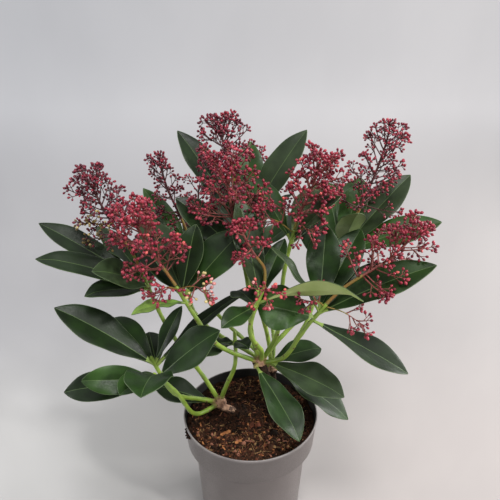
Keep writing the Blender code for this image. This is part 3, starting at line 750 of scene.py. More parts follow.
# Each finish: two colours, roughness, size of its blotches, depth and size of its grain, and shine
FINISHES = {name: finish(name, srgb(*first), srgb(*second), *look) for name, (first, second, *look) in {
    "leaf_deep": ((26, 43, 17), (15, 26, 10), *LEAF_LOOK),
    "leaf_dark": ((36, 60, 22), (20, 35, 13), *LEAF_LOOK),
    "leaf_mid": ((50, 80, 29), (31, 52, 19), *LEAF_LOOK),
    # The grey green is in part a painted sheen
    "leaf_grey": ((49, 64, 38), (32, 44, 25), *LEAF_LOOK),
    "leaf_young": ((120, 150, 64), (100, 132, 52), 0.46, 0.02, 0.0001),
    "leaf_olive": ((84, 98, 56), (68, 84, 44), 0.5, 0.02, 0.0001),
    "leaf_under": ((106, 124, 72), (90, 108, 60), 0.6, 0.02, 0.0002),
    "leaf_pale": ((176, 192, 122), (158, 178, 102), 0.6, 0.02, 0.0002),
    "leaf_rib": ((76, 98, 50), (62, 84, 40), 0.5),
    "leaf_edge": ((80, 98, 58), (62, 82, 44), 0.5),
    "leaf_stalk": ((136, 156, 74), (112, 136, 60), 0.45),
    "green_stem": ((134, 158, 58), (108, 134, 48), 0.42, 0.012, 0.0002, 0.002),
    "stem_foot": ((156, 140, 84), (124, 122, 62), 0.6, 0.006, 0.0004, 0.0012),
    "stem_scar": ((118, 104, 62), (90, 78, 48), 0.7),
    "bark": ((186, 148, 120), (134, 98, 76), 0.8, 0.005, 0.0006, 0.0012),
    "bark_shade": ((60, 44, 34), (38, 27, 21), 0.9, 0.003, 0.0005, 0.0012, 0.15),
    "bark_dark": ((98, 72, 56), (66, 48, 38), 0.85, 0.004, 0.0006, 0.0012),
    "flower_stalk": ((136, 70, 62), (106, 50, 46), *STALK_LOOK),
    "flower_stalk_dark": ((88, 44, 44), (64, 32, 34), *STALK_LOOK),
    "flower_stalk_green": ((122, 118, 52), (138, 92, 44), *STALK_LOOK),
    "bud_dark": ((90, 22, 41), (65, 15, 28), *BUD_LOOK),
    "bud_wine": ((118, 31, 50), (94, 22, 38), *BUD_LOOK),
    "bud_red": ((145, 41, 58), (120, 30, 45), *BUD_LOOK),
    "bud_rose": ((172, 64, 78), (146, 45, 60), *BUD_LOOK),
    "bud_coral": ((216, 106, 96), (190, 74, 74), 0.42, 0.003),
    "bud_olive": ((132, 110, 58), (104, 84, 46), 0.45, 0.003),
    "bud_pale": ((214, 156, 150), (196, 120, 118), 0.4, 0.003),
    "bud_cream": ((196, 178, 122), (168, 150, 96), 0.42, 0.003),
    "bud_cup": ((74, 34, 32), (58, 26, 26), 0.5, 0.003),
    "peat": ((60, 38, 26), (28, 17, 11), 0.95, 0.004, 0.0008, 0.001, 0.15),
    "peat_black": ((32, 21, 14), (18, 12, 8), *PEAT_LOOK),
    "peat_brown": ((76, 48, 33), (52, 32, 22), *PEAT_LOOK),
    "peat_red": ((98, 55, 39), (72, 40, 29), 0.92, 0.003, 0.0, 0.0015, 0.15),
    "peat_pink": ((146, 99, 79), (114, 74, 59), 0.92, 0.003, 0.0, 0.0015, 0.15),
    "straw": ((150, 118, 80), (116, 88, 58), 0.85, 0.004, 0.0, 0.0015, 0.15),
    "chip": ((176, 118, 72), (132, 82, 50), 0.8, 0.004, 0.0003, 0.0008, 0.15),
    "pot_outside": ((106, 99, 97), (99, 92, 90), 0.38, 0.03, 0.00006, 0.0012),
    "pot_inside": ((24, 22, 21), (15, 14, 13), 0.55, 0.02, 0.00006),
    "pot_rim": ((128, 122, 120), (112, 106, 105), 0.42, 0.02, 0.00004),
}.items()}


def draw(rng, mix):
    """One name of a mix, drawn by the names' weights."""
    return rng.choices(*zip(*mix.items()))[0]


# Leaves

LEAF_ROWS = 30
LEAF_HALF_THICK = 0.22
STALK_HALF_THICK = 1.05
RIB_HALF = 0.5
EDGE = 0.3
VEINS = 9
VEIN_HEIGHT = 0.1
GROOVE = 0.35
KEEL = 0.8
# Greens drawn for the other leaves; the grey is in part a painted sheen
TOPS = {"deep": 3, "dark": 4, "mid": 3, "grey": 2}
Habit = namedtuple("Habit", "wave turns phase hook top under")

# The spans of a leaf's wave, turns, phase and hook
HABITS = ((0.7, 2.1), (1.2, 2.8), (0, 6), (0, 2.5))

# Leaves that are rolled up along their midrib, and so look narrow: the share of their width that shows
ROLLED = {("low_left", 3): 0.6, ("low_left", 4): 0.75, ("low_left", 5): 0.7}


def leaf_columns(half, s):
    """Places across a leaf."""
    rib = min(RIB_HALF * (1 - 0.75 * s), half * 0.3)
    inner = half - min(EDGE, half * 0.2)
    right = [rib + (inner - rib) * share for share in (0, 0.22, 0.5, 0.78, 1)] + [half]
    return [-x for x in reversed(right)] + [0.0] + right


def leaf_ring(foot, leaf, s, habit):
    """One section of a leaf, over its upper side and back along its underside."""
    centre, left, up = midrib(foot, leaf, s)
    half = half_width(s, leaf.width) if s < 0.4 else max(0.12, shape_width(s, leaf.width))
    blade_share = smooth_step(0.03, 0.24, s)
    thick = STALK_HALF_THICK + (LEAF_HALF_THICK - STALK_HALF_THICK) * blade_share
    fold = tan(radians(LEAF_FOLD))
    swing = sin(pi * min(1.0, s * 1.05))
    top, under = [], []
    for x in leaf_columns(half, s):
        c = abs(x) / half
        lift = half * fold * c ** 1.35 - half * 0.09 * max(0.0, c - 0.62) ** 2 / 0.14
        side = habit.phase if x < 0 else habit.phase * 1.7 + 1.1
        lift += habit.wave * c * c * swing * sin(tau * habit.turns * s + side)
        lift += VEIN_HEIGHT * blade_share * 4 * c * (1 - c) * cos(tau * (VEINS * s - 1.3 * c))
        lift -= habit.hook * smooth_step(0.82, 1.0, s)
        near = exp(-(x / RIB_HALF) ** 2) * blade_share * (1 - 0.75 * s)
        round_off = 1 - 0.55 * (1 - blade_share) * c ** 2
        point = centre - left * x + up * lift
        top.append(point + up * (thick * round_off - GROOVE * near))
        under.append(point - up * (thick * round_off + KEEL * near))
    return top + under[::-1]


def leaf_finish(habit):
    """Each face's finish on a leaf."""
    def pick(ring, corner):
        if ring < LEAF_ROWS * 0.07:
            return "leaf_stalk"
        # The edge columns get the pale margin colour: partly the leaf's own thin pale edge, partly painted
        # highlight.
        if corner in (0, 11, 12, 13, 24, 25):
            return "leaf_edge"
        if corner in (5, 6, 18, 19) and habit.under != "leaf_pale":
            return "leaf_rib"
        return habit.top if corner < 12 else habit.under
    return pick


# The one leaf whose pale underside faces the viewer
PALE_LEAF = ("centre", 1)


def add_leaf(sheaf, foot, leaf, rng, under):
    """A leaf with its fold, waves, veins and midrib."""
    chosen = draw(rng, TOPS)
    habit = Habit(*(rng.uniform(*span) for span in HABITS), "leaf_" + (leaf.top or chosen), under)
    stations = [1 - (1 - k / LEAF_ROWS) ** 1.12 for k in range(LEAF_ROWS)] + [0.997]
    rings = [leaf_ring(foot, leaf, s, habit) for s in stations]
    sheaf.loft(rings, leaf_finish(habit))


# Stems and woody bases

STEM_SIDES = 14
STEM_STEPS = 9
NODE_EVERY = 9
STEM_WOOD = 5
SEATED_WOOD = 16
STEM_END = ((0.45, 0.86), (0.8, 0.56), (0.98, 0.16))


def add_stem(sheaf, points, foot_radius, tip_radius, rng, woody):
    """A green stem with swollen, scarred nodes; its first rings, as many as asked, are woody."""
    way = (points[-1] - points[-2]).normalized()
    count = len(points)
    spin = rng.uniform(0, 6)
    radii, scars = taper(points, foot_radius, tip_radius), {}
    for i in range(count):
        phase = i % NODE_EVERY
        if phase == NODE_EVERY // 2 and 3 < i < count - 3:
            scars[i] = int(spin * 3 + i * GOLDEN_ANGLE / 26) % STEM_SIDES
        swell = 0.11 * exp(-((phase - NODE_EVERY // 2) / 1.1) ** 2)
        collar = 0.3 * exp(-i / 1.6)
        radii[i] *= 1 + swell + collar
    for rise, narrow in STEM_END:
        points = points + [points[count - 1] + way * rise * tip_radius]
        radii.append(tip_radius * narrow)
    rings = tube_rings(points, radii, STEM_SIDES, spin)
    for i, ring in enumerate(rings):
        for k, point in enumerate(ring):
            out = (point - points[i]).normalized()
            ring[k] = point + out * 0.12 * noise.noise(point / 2.2)

    def pick(ring, corner):
        if ring in scars and (corner - scars[ring]) % STEM_SIDES < 3:
            return "stem_scar"
        if ring < woody + noise.noise(rings[ring][corner] / 3) * 4:
            return "stem_foot"
        return "green_stem"
    sheaf.loft(rings, pick)


TRUNK_SIDES = 40
TRUNK_RINGS = 5
BARK_RELIEF = 0.55
BARK_DARK_HEIGHT = 7.0


def add_trunk(sheaf, base):
    """A woody base with fissured bark."""
    profile, top = trunk_profile(base)
    profile = profile + [(top, base.fork_radius * 0.12)]
    centres = finer([centre for centre, radius in profile], TRUNK_RINGS)
    widths = finer([Vector((radius, 0, 0)) for centre, radius in profile], TRUNK_RINGS)
    rings = []
    for centre, width in zip(centres, widths):
        ring = []
        for k in range(TRUNK_SIDES):
            out = towards(360 * k / TRUNK_SIDES, 0)
            point = centre + out * width.x
            lump = noise.noise(Vector((point.x / 4, point.y / 4, point.z / 6)))
            fissure = abs(noise.noise(Vector((point.x / 1.3, point.y / 1.3, point.z / 5))))
            relief = BARK_RELIEF * lump - BARK_RELIEF * 1.3 * (0.35 - fissure)
            ring.append(point + out * relief * min(1, width.x / 3))
        rings.append(ring)

    def pick(ring, corner):
        spot = rings[ring][corner]
        rough = noise.noise(spot / 2.4) + 0.5 * noise.noise(spot / 0.9)
        # Below the fork of a tall woody base the bark is painted very dark: painted shade, as under the
        # leaves.
        if base.fork[2] - SOIL_LEVEL > TALL_TRUNK and spot.z < base.fork[2] + rough * 2:
            return "bark_shade"
        # The bark is darker near the peat, fading out a few millimetres above it, and darker in random
        # patches.
        low_dark = 1 - smooth_step(SOIL_LEVEL + 1, SOIL_LEVEL + BARK_DARK_HEIGHT, spot.z)
        return "bark_dark" if rough + low_dark > 0.34 else "bark"
    sheaf.loft(rings, pick)


def add_trunks(sheaf):
    """The woody bases."""
    for base in BASES:
        add_trunk(sheaf, base)


# Heads of buds

BUD_SHAPE = ((0.0, 0.3), (0.12, 0.6), (0.34, 0.92), (0.56, 1.0), (0.78, 0.8), (0.92, 0.45), (1.0, 0.12))
BUD_SIDES = 8
BUD_SIZE = (1.02, 1.34)
SMALL_BUDS = 0.84
BUD_SLENDER = (2.4, 2.9)
PEDICEL = 0.27
PEDICEL_LENGTH = (2.0, 3.6)
LATERAL_SPACING = 4.9
LATERAL_FROM = 0.34
LATERAL_LEAN = 44
HEAD_CLUSTERS = (5, 3)
SPRIG_CLUSTERS = (3, 2)
MORE_BRANCHES = 0.7
DENSE_HEADS = {"far_left": 1.7, "back_left": 1.6, "top": 1.1, "upper_right": 1.0, "back_right": 0.9}
BRANCH_MORE = 0.8
BUD_MIXES = {
    "wine": {"bud_dark": 4, "bud_wine": 6, "bud_red": 4, "bud_rose": 1},
    "deep": {"bud_dark": 2, "bud_wine": 5, "bud_red": 5, "bud_rose": 1.5},
    "red": {"bud_dark": 1, "bud_wine": 4, "bud_red": 7, "bud_rose": 3},
    "rose": {"bud_wine": 4, "bud_red": 7, "bud_rose": 4, "bud_coral": 0.3},
    "coral": {"bud_red": 4, "bud_rose": 4, "bud_coral": 4, "bud_pale": 1},
    "cream": {"bud_cream": 3, "bud_pale": 3, "bud_coral": 3, "bud_rose": 3},
    "olive": {"bud_olive": 6, "bud_cream": 1, "bud_wine": 3},
}
Kind = namedtuple("Kind", "stalks buds mix stalk size clusters")
SPRIG_RADIUS = 0.6
# Heads that stand against the light: their stalks get a darker copy of the stalk colour, which is painted
# shade, and their buds are smaller.
SHADED_STALK_HEADS = ("far_left", "back_left", "top", "back_right", "rear_left", "rear", "rear_right")

# The head with low branches on one side whose buds are still green, and how far below its tip they start
GREEN_HEAD = "far_left"
GREEN_BELOW = 22


def add_bud(foot, way, stalk, kind, rng):
    """A slightly square bud on its cup and stalk."""
    chosen = draw(rng, kind.mix)
    side = way.orthogonal().normalized()
    across = way.cross(side)
    spin = rng.uniform(0, 6)
    radius = rng.uniform(*BUD_SIZE) * kind.size
    length = radius * rng.uniform(*BUD_SLENDER)
    tip = foot + way * stalk
    kind.stalks.loft(tube_rings([foot, tip + way * 0.3], [PEDICEL, PEDICEL * 1.15], 5), kind.stalk)
    rings = []
    for share, width in BUD_SHAPE:
        ring = []
        for k in range(BUD_SIDES):
            angle = tau * k / BUD_SIDES
            wide = radius * width * (1 + 0.06 * cos(4 * angle))
            out = side * cos(angle + spin) + across * sin(angle + spin)
            ring.append(tip + way * share * length + out * wide)
        rings.append(ring)
    kind.buds.loft(rings, lambda ring, corner: "bud_cup" if ring == 0 else chosen)


def leaning(way, turn, lean, rng, spread):
    """A way that leans off another, turned about it."""
    angle = radians(lean + rng.uniform(-spread, spread))
    return way * cos(angle) + square_to(way, turn) * sin(angle)


def add_cluster(tip, way, count, kind, rng):
    """A bud that ends a shoot, with others in a loose ring below it."""
    add_bud(tip, way, rng.uniform(1.2, 2.2), kind, rng)
    turn = rng.uniform(0, 360)
    for k in range(count - 1):
        spread_way = leaning(way, turn + 360 * k / (count - 1), 54, rng, 12)
        foot = tip - way * rng.uniform(0.0, 1.2)
        add_bud(foot, spread_way, rng.uniform(*PEDICEL_LENGTH), kind, rng)


def add_branch(foot, way, length, kind, rng):
    """A side branch with short shoots all round that end in clusters of buds."""
    points = []
    for k in range(6):
        t = k / 5
        points.append(foot + way * length * t - Vector((0, 0, length * 0.16 * t * (1 - t))))
    radii = [0.66 - 0.055 * k for k in range(6)]
    kind.stalks.loft(tube_rings(points, radii, 6), kind.stalk)
    turn = rng.uniform(0, 360)
    count = round(length * (1 - LATERAL_FROM) / LATERAL_SPACING)
    for k in range(count):
        share = LATERAL_FROM + (0.94 - LATERAL_FROM) * (k + 0.5) / count
        start, on = along(points, share)
        lateral_way = leaning(on, turn + GOLDEN_ANGLE * k, LATERAL_LEAN, rng, 10)
        lateral = 1.6 + length * 0.24 * (1.2 - share) + rng.uniform(0, 1.6)
        tip = start + lateral_way * lateral
        kind.stalks.loft(tube_rings([start, tip], [PEDICEL * 1.5, PEDICEL * 1.1], 5), kind.stalk)
        add_cluster(tip, lateral_way, kind.clusters[1], kind, rng)
    add_cluster(points[-1], way, kind.clusters[0], kind, rng)


def add_head(head, route, branches, kind, green_share, radius):
    """A head of buds on its stalk, green below and red above."""
    rng = random.Random(head.seed)
    points = finer(route, 5)
    radii = taper(points, radius, radius * 0.55)
    rings = tube_rings(points, radii, 9)
    green = round(green_share * len(rings))
    kind.stalks.loft(rings, lambda ring, corner: "flower_stalk_green" if ring < green else kind.stalk)
    for foot, way, length in branches:
        own = kind
        if head.name == GREEN_HEAD and foot.z < route[-1].z - GREEN_BELOW and way.y < 0.3 and way.x < 0.2:
            own = kind._replace(mix=BUD_MIXES["olive"])
        add_branch(foot, way, length + BRANCH_MORE, own, rng)


# Pot and peat

POT_SIDES = 144
PEAT_RINGS = 46
PEAT_SIDES = 150
HEAP = 3.6
PATCHES = 0.75
CRUMBS = 3100
FIBRES = 800
CHIPS = 130
RIM_CRUMBS = 34
RIM_CRUMBS_AT = 206
LARGE_CHIPS = 10
CHIP_SHAPE = ((-0.5, 0.35), (-0.42, 0.8), (0.0, 1.0), (0.38, 0.75), (0.5, 0.3))
CHIP_SECTION = ((-1, -0.7), (-0.5, -1), (0.6, -1), (1, -0.5), (0.9, 0.7), (0.1, 1), (-0.9, 0.8))
# Crumb mixes: the first for painted shade under the plant, the second for painted light in front.
SHADED_CRUMBS = {"peat_black": 6, "peat": 3, "peat_brown": 2, "peat_red": 0.6}
LIT_CRUMBS = {"peat_black": 3, "peat_brown": 5, "peat_red": 3, "peat_pink": 1.3, "chip": 0.5, "straw": 0.9}
FIBRE_MIX = {"straw": 3, "peat_red": 4, "peat_brown": 5, "chip": 1}
CHIP_MIX = {"chip": 3, "straw": 2, "peat_red": 3, "peat_pink": 2}


def circle(radius, height, sides):
    """A ring of points round the pot's axis."""
    turns = [tau * k / sides for k in range(sides)]
    return [Vector((radius * cos(turn), radius * sin(turn), height)) for turn in turns]


def add_pot(sheaf):
    """The pot with its rounded rim, its collar and its rounded foot."""
    top, step = POT_HEIGHT, POT_HEIGHT - COLLAR_HEIGHT
    lean = (RIM_RADIUS - COLLAR_FOOT_RADIUS) / COLLAR_HEIGHT
    outer = (BASE_RADIUS, SHOULDER_RADIUS, COLLAR_FOOT_RADIUS, RIM_RADIUS)
    base, shoulder, collar, mouth = (radius - WALL for radius in outer)
    inside = [
        (1.0, WALL), (base - 1.5, WALL), (base - 0.4, WALL + 0.4), (base, WALL + 1.5), (shoulder - 0.1, step),
        (shoulder + 0.5, step + WALL), (collar - 0.5, step + WALL), (collar, step + WALL + 0.6),
        (mouth - 3 * lean, top - 3),
    ]
    base, shoulder, collar, mouth = outer
    rim = [
        (mouth - WALL, top - 0.7), (mouth - WALL + 0.25, top - 0.2), (mouth - WALL / 2, top),
        (mouth - 0.25, top - 0.2), (mouth, top - 0.7), (mouth - 0.02, top - 2.2),
    ]
    outside = [
        (mouth - 0.45, top - 2.9), (collar, step + 1.0), (collar - 0.5, step + 0.2), (collar - 1.4, step),
        (shoulder + 1.0, step - 0.1), (shoulder + 0.2, step - 0.7), (shoulder - 0.1, step - 2.0),
        (base + 0.1, 2.6), (base - 0.3, 0.8), (base - 1.2, 0.0), (base - 4.0, 0.0), (base - 4.6, 0.7),
        (1.0, 0.9),
    ]
    profile = inside + rim + outside
    first, second = len(inside) - 1, len(inside) + len(rim) - 1

    def pick(ring, corner):
        # The inside is the same plastic painted near black: painted shade.
        if ring < first + 2:
            return "pot_inside"
        # The rim is the same plastic painted lighter: painted light on its upper face.
        return "pot_rim" if ring < second else "pot_outside"
    sheaf.loft([circle(radius, height, POT_SIDES) for radius, height in profile], pick)


def peat_height(x, y):
    """The top of the peat with its finer crumbs."""
    fine = noise.noise(Vector((x, y, 9)) / 3.4) + 0.6 * noise.noise(Vector((x, y, 30)) / 1.4)
    near = min(hypot(x - base.foot[0], y - base.foot[1]) for base in BASES)
    lumps = noise.noise(Vector((x, y, 60)) / 7.5)
    return soil_height(x, y) + 1.0 * fine + 1.5 * lumps + HEAP * smooth_step(15, 6, near)


def crumb_finish(spot, rng):
    """A crumb's finish: dark round the woody bases and at the back, painted shade under the plant; lighter in
    front, painted light; with random patches.
    """
    near = min(hypot(spot.x - base.foot[0], spot.y - base.foot[1]) for base in BASES[:2])
    light = smooth_step(14, 34, near) * smooth_step(30, -34, spot.y) - 0.08 + PATCHES * noise.noise(spot / 8)
    return draw(rng, SHADED_CRUMBS if rng.random() > light else LIT_CRUMBS)


def add_peat(sheaf):
    """The peat: its sides against the pot and its lumpy top."""
    shelf = POT_HEIGHT - COLLAR_HEIGHT + WALL + GAP
    inset = WALL + GAP
    edge = COLLAR_FOOT_RADIUS + (RIM_RADIUS - COLLAR_FOOT_RADIUS) * 0.6 - inset
    rings = [circle(radius, height, PEAT_SIDES) for radius, height in (
        (1.0, inset), (BASE_RADIUS - inset, inset), (SHOULDER_RADIUS - inset, shelf),
        (COLLAR_FOOT_RADIUS - inset, shelf), (edge, SOIL_LEVEL - 3))]
    for k in range(PEAT_RINGS):
        radius = edge * (1 - k / PEAT_RINGS)
        rings.append([Vector((p.x, p.y, peat_height(p.x, p.y))) for p in circle(radius, 0, PEAT_SIDES)])
    sheaf.loft(rings, "peat")


def spot_on_peat(rng, margin):
    """A place on the peat, clear of the woody bases."""
    while True:
        turn = rng.uniform(0, tau)
        radius = (RIM_RADIUS - 4.5 - margin) * sqrt(rng.random())
        x, y = radius * cos(turn), radius * sin(turn)
        if all(hypot(x - b.foot[0], y - b.foot[1]) > b.foot_radius * 0.6 + margin for b in BASES):
            return Vector((x, y, peat_height(x, y)))


def add_crumb(sheaf, centre, size, finish_name, rng):
    """A rough lump of peat."""
    rings = []
    stretch = Vector((rng.uniform(0.7, 1.3), rng.uniform(0.7, 1.3), rng.uniform(0.5, 0.9)))
    for height, width in ((-0.8, 0.4), (-0.25, 1.0), (0.4, 0.85), (0.85, 0.3)):
        ring = []
        for k in range(5):
            out = towards(72 * k + rng.uniform(-16, 16), 0) * width * rng.uniform(0.75, 1.15)
            out += Vector((0, 0, height))
            ring.append(centre + Vector(a * b for a, b in zip(out, stretch)) * size)
        rings.append(ring)
    sheaf.loft(rings, finish_name)


def add_crumbs(sheaf):
    """Loose lumps over the peat, and a few on the left of the rim."""
    rng = random.Random(CRUMB_SEED)
    for k in range(CRUMBS):
        size = rng.choice((0.45, 0.6, 0.75, 1.0, 1.5)) * rng.uniform(0.7, 1.3)
        if k % 40 == 0:
            size *= 1.9
        spot = spot_on_peat(rng, size + 0.4)
        add_crumb(sheaf, spot + Vector((0, 0, size * 0.3)), size, crumb_finish(spot, rng), rng)
    for k in range(RIM_CRUMBS):
        turn, drop = RIM_CRUMBS_AT + rng.uniform(-5, 4), rng.uniform(-1, 1) ** 3 * 6 - 6
        out = RIM_RADIUS + rng.uniform(0.2, 1.2) + drop * 0.087
        centre = towards(turn, 0) * out + Vector((0, 0, POT_HEIGHT + 0.3 + drop))
        size, name = rng.uniform(0.6, 1.6), rng.choice(("peat_black", "peat_black", "peat_brown"))
        add_crumb(sheaf, centre, size, name, rng)


def add_fibres(sheaf):
    """Thin fibres and straws on the peat."""
    rng = random.Random(FIBRE_SEED)
    for k in range(FIBRES):
        length = rng.uniform(2.5, 7) if k % 12 else rng.uniform(8, 15)
        start = spot_on_peat(rng, 2.5 + length * 0.5)
        way = towards(rng.uniform(0, 360), rng.uniform(-8, 16))
        bend = towards(rng.uniform(0, 360), 20) * length * 0.12
        points = [start + way * length * (t - 0.5) + bend * 4 * t * (1 - t) for t in (0, 0.33, 0.67, 1)]
        lift = max(peat_height(p.x, p.y) - p.z for p in points) + 0.2
        points = [p + Vector((0, 0, lift * 0.8)) for p in points]
        width = rng.uniform(0.12, 0.26)
        name = draw(rng, FIBRE_MIX)
        sheaf.loft(tube_rings(points, [width * 0.6, width, width, width * 0.5], 4), name)


def add_chips(sheaf):
    """Flat splinters of bark, a few of them large."""
    rng = random.Random(CHIP_SEED)
    for k in range(CHIPS):
        length = rng.uniform(2, 5) if k >= LARGE_CHIPS else rng.uniform(7, 13)
        width, thick = length * rng.uniform(0.18, 0.4), rng.uniform(0.35, 0.8)
        spot = spot_on_peat(rng, length * 0.5 + 1)
        if k < LARGE_CHIPS:
            spot = Vector((spot.x, -abs(spot.y) * 0.6 - 12, 0))
            spot.z = peat_height(spot.x, spot.y)
        turned = Matrix.Rotation(rng.uniform(0, tau), 3, "Z")
        turned = turned @ Matrix.Rotation(rng.uniform(-0.3, 0.3), 3, "X")
        rings = []
        for share, wide in CHIP_SHAPE:
            jag = rng.uniform(0.8, 1.2)
            ring = [
                Vector((share * length, a * width / 2 * wide * jag, b * thick / 2)) for a, b in CHIP_SECTION]
            rings.append([spot + turned @ p + Vector((0, 0, thick * 0.5 + 0.5)) for p in ring])
        sheaf.loft(rings, draw(rng, CHIP_MIX))


# Stage

CAMERA_PLACE = (-0.0005, -0.416, 0.4996)
CAMERA_DOWN = 25.81
CAMERA_LENS = 39.6
SKY_LOW = 0.4
SKY_HIGH = 0.88
SKY_BEHIND = 0.25
FLOOR_HALF = 60.0
FLOOR_NEAR = (0.06, 0.36)
FLOOR_FAR = (0.3, 2.2)
FLOOR_ACROSS = (-0.45, 0.38)

# The floor's colours, painted light and shade, at the left and right: near, further off, and far off
FLOOR_PAINTED_LIGHT = (
    ((175, 174, 173), (166, 160, 158)),
    ((166, 165, 167), (158, 154, 153)),
    ((218, 218, 221), (243, 240, 240)),
)

# Each light: its place, what it faces, its size, power and colour
LIGHTS = {
    "key": ((0.98, -0.78, 1.02), (0, 0, 0.15), 0.12, 12.5, (1.0, 0.985, 0.97)),
    "top": ((0.1, -0.45, 1.45), (0, 0, 0.15), 0.3, 10.5, (1.0, 0.99, 0.98)),
    "side_right": ((1.1, 0.3, 0.5), (0, 0, 0.12), 0.5, 11.5, (1.0, 0.99, 0.98)),
    "side_left": ((-1.1, 0.1, 0.2), (0, 0, 0.12), 0.5, 5, (0.99, 0.99, 1.0)),
}


def add_camera():
    """The photograph's view: from the front and above."""
    data = bpy.data.cameras.new("camera")
    data.lens = CAMERA_LENS
    data.sensor_width = 36
    data.clip_start = 0.01
    camera = placed("camera", data)
    camera.location = CAMERA_PLACE
    camera.rotation_euler = (radians(90 - CAMERA_DOWN), 0, 0)
    bpy.context.scene.camera = camera


def parts_of(tree, space):
    """The outputs X, Y and Z of a place or way."""
    made = tree.nodes.new("ShaderNodeSeparateXYZ")
    feed(made, Vector=node(tree, "TexCoord", space))
    return made.outputs


def floor_finish():
    """A pale matt floor whose colour carries painted light and shade, changing from left to right and paler
    far off, with faint clouds.
    """
    made = bpy.data.materials.new("floor")
    made.use_nodes = True
    tree = made.node_tree
    x, y = parts_of(tree, "Object")[:2]
    ahead = maths(tree, "MAXIMUM", maths(tree, "ADD", y, 0.5), 0.4)
    slant = maths(tree, "DIVIDE", x, ahead)
    across = ramp(tree, slant, *FLOOR_ACROSS, kind="SMOOTHSTEP")
    near, middle, far = (mixed(tree, across, srgb(*left), srgb(*right)) for left, right in FLOOR_PAINTED_LIGHT)
    ground = mixed(tree, ramp(tree, y, *FLOOR_NEAR, kind="SMOOTHSTEP"), near, middle)
    ground = mixed(tree, ramp(tree, y, *FLOOR_FAR, kind="SMOOTHSTEP"), ground, far)
    spot = node(tree, "CombineXYZ", "Vector", X=slant, Y=maths(tree, "DIVIDE", 0.3, ahead))
    clouds = node(tree, "TexNoise", "Fac", Vector=spot, Scale=5, Detail=4)
    shade = ramp(tree, clouds, 0.35, 0.65, kind="SMOOTHSTEP")
    veil = mixed(tree, shade, srgb(190, 190, 194), srgb(255, 255, 255))
    colour = mixed(tree, 0.1, ground, veil, "MULTIPLY")
    feed(tree.nodes["Principled BSDF"], Base_Color=colour, Roughness=0.9, Specular_IOR_Level=0.1)
    return made


def add_stage():
    """A pale floor with painted light and shade, a pale surround and soft square lights."""
    half = FLOOR_HALF
    mesh = bpy.data.meshes.new("floor")
    corners = [(-half, -half, 0), (half, -half, 0), (half, half, 0), (-half, half, 0)]
    mesh.from_pydata(corners, [], [(0, 1, 2, 3)])
    mesh.materials.append(floor_finish())
    floor = placed("floor", mesh)
    world = bpy.data.worlds.new("surround")
    bpy.context.scene.world = world
    world.use_nodes = True
    tree = world.node_tree
    y, z = parts_of(tree, "Generated")[1:]
    height = maths(tree, "MULTIPLY_ADD", y, SKY_BEHIND, z)
    glow = ramp(tree, height, 0.0, 0.9, SKY_LOW, SKY_HIGH)
    feed(tree.nodes["Background"], Color=(0.98, 0.985, 1.0, 1), Strength=glow)
    for name, (place, target, size, power, colour) in LIGHTS.items():
        data = bpy.data.lights.new(name, "AREA")
        data.size = size
        data.energy = power
        data.color = colour
        light = placed(name, data)
        light.location = place
        light.rotation_euler = (Vector(target) - Vector(place)).to_track_quat("-Z", "Y").to_euler()
    bpy.context.scene.view_settings.view_transform = "Standard"


# The plant

# The pieces of leaves, each with the shoots whose leaves it holds
LEAF_PIECES = {
    "leaves_low_side_left": ("low_front", "low_left", "base_left"),
    "leaves_side_left": ("left", "mid_left", "back_left"),
    "leaves_front": ("centre", "inner"),
    "leaves_crown": ("top", "top_front", "upper_right"),
    "leaves_side_right": ("right", "back_right", "low_right", "base_right"),
    "leaves_back": ("rear_left", "rear", "rear_right"),
}


def add_leaves(leaves):
    """The leaves, in pieces by their side of the plant."""
    for piece, names in LEAF_PIECES.items():
        sheaf = Sheaf()
        for number, shoot in enumerate(SHOOTS):
            rng = random.Random(LEAF_SEED + number)
            for k, leaf in enumerate(leaves[shoot.name] if shoot.name in names else ()):
                if leaf:
                    place = (shoot.name, k)
                    under = "leaf_pale" if place == PALE_LEAF else "leaf_under"
                    shown = leaf._replace(width=leaf.width * ROLLED.get(place, 1))
                    add_leaf(sheaf, leaf_foot(shoot, leaf), shown, rng, under)
        sheaf.piece(piece, "leaf", ["leaves_" + name for name in names])


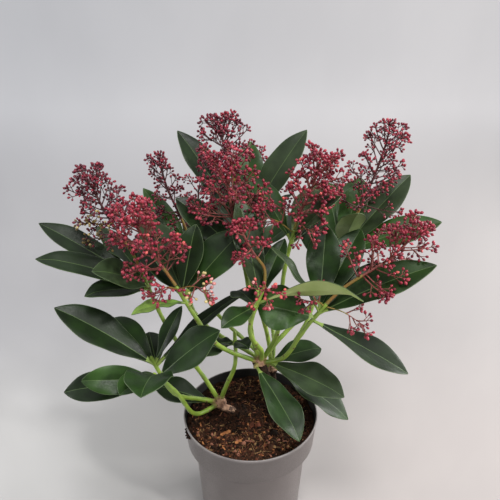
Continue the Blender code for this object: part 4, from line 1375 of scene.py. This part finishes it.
def add_stems():
    """The green stems and twigs, in one piece."""
    stems = Sheaf()
    for number, shoot in enumerate(SHOOTS):
        rng = random.Random(STEM_SEED + number)
        foot, axis = twig_foot(shoot), towards(*shoot.axis)
        twig = [foot + axis * (shoot.twig - TWIG_TIP_RADIUS) * k / 8 for k in range(9)]
        if shoot.foot is None:
            points, woody = [twig[0] - axis * 2] + twig[:4], SEATED_WOOD
        else:
            route = finer(stem_route(shoot), STEM_STEPS)
            points, woody = [route[0] - towards(*shoot.leave) * 2] + route + twig[1:], STEM_WOOD
        add_stem(stems, points, STEM_FOOT_RADIUS, TWIG_TIP_RADIUS, rng, woody)
    nodes = ["stem_" + shoot.name for shoot in SHOOTS if shoot.foot is not None]
    stems.piece("green_stems", "green_stem", nodes)


SIDES = {"left": ("top_front", "far_left", "left"), "right": ("right", "upper_right", "centre"), "back": ()}


def add_heads(branches, sprigs):
    """Every head and sprig of buds: the stalks in one piece, the buds in three."""
    stalks, buds = Sheaf(), {side: Sheaf() for side in SIDES}
    for head in HEADS:
        side = next((side for side, names in SIDES.items() if head.name in names), "back")
        # The stalks of heads against the light get the darker stalk colour: painted shade.
        dark = head.name in SHADED_STALK_HEADS
        look = ("flower_stalk_dark", SMALL_BUDS) if dark else ("flower_stalk", 1.0)
        kind = Kind(stalks, buds[side], BUD_MIXES[head.mix], *look, HEAD_CLUSTERS)
        add_head(head, head_route(head), branches[head.name], kind, head.bare * 1.1, STALK_RADIUS)
    for sprig, settled in sprigs:
        kind = Kind(stalks, buds["right"], BUD_MIXES[sprig.mix], "flower_stalk", 1.0, SPRIG_CLUSTERS)
        add_head(sprig, sprig_route(sprig), settled, kind, 0.5, SPRIG_RADIUS)
    stalks.piece("flower_stalks", "red_buds", ["flower_head_" + head.name for head in HEADS])
    for side, sheaf in buds.items():
        sheaf.piece("flower_buds_" + side, "red_buds")


def main():
    """Dress the frame and set the stage."""
    leaves, branches, sprigs = grow()
    add_leaves(leaves)
    add_stems()
    add_heads(branches, sprigs)
    for build, name, slot, nodes, smooth in (
        (add_trunks, "woody_bases", "bark", [base.name for base in BASES], True),
        (add_pot, "pot_shell", "pot_plastic", ["pot"], True),
        (add_peat, "peat_bed", "peat", ["soil"], True),
        (add_crumbs, "peat_crumbs", "peat", [], False),
        (add_fibres, "peat_fibres", "peat", [], True),
        (add_chips, "bark_chips", "peat", [], False),
    ):
        sheaf = Sheaf()
        build(sheaf)
        sheaf.piece(name, slot, nodes, smooth)
    add_camera()
    add_stage()


main()
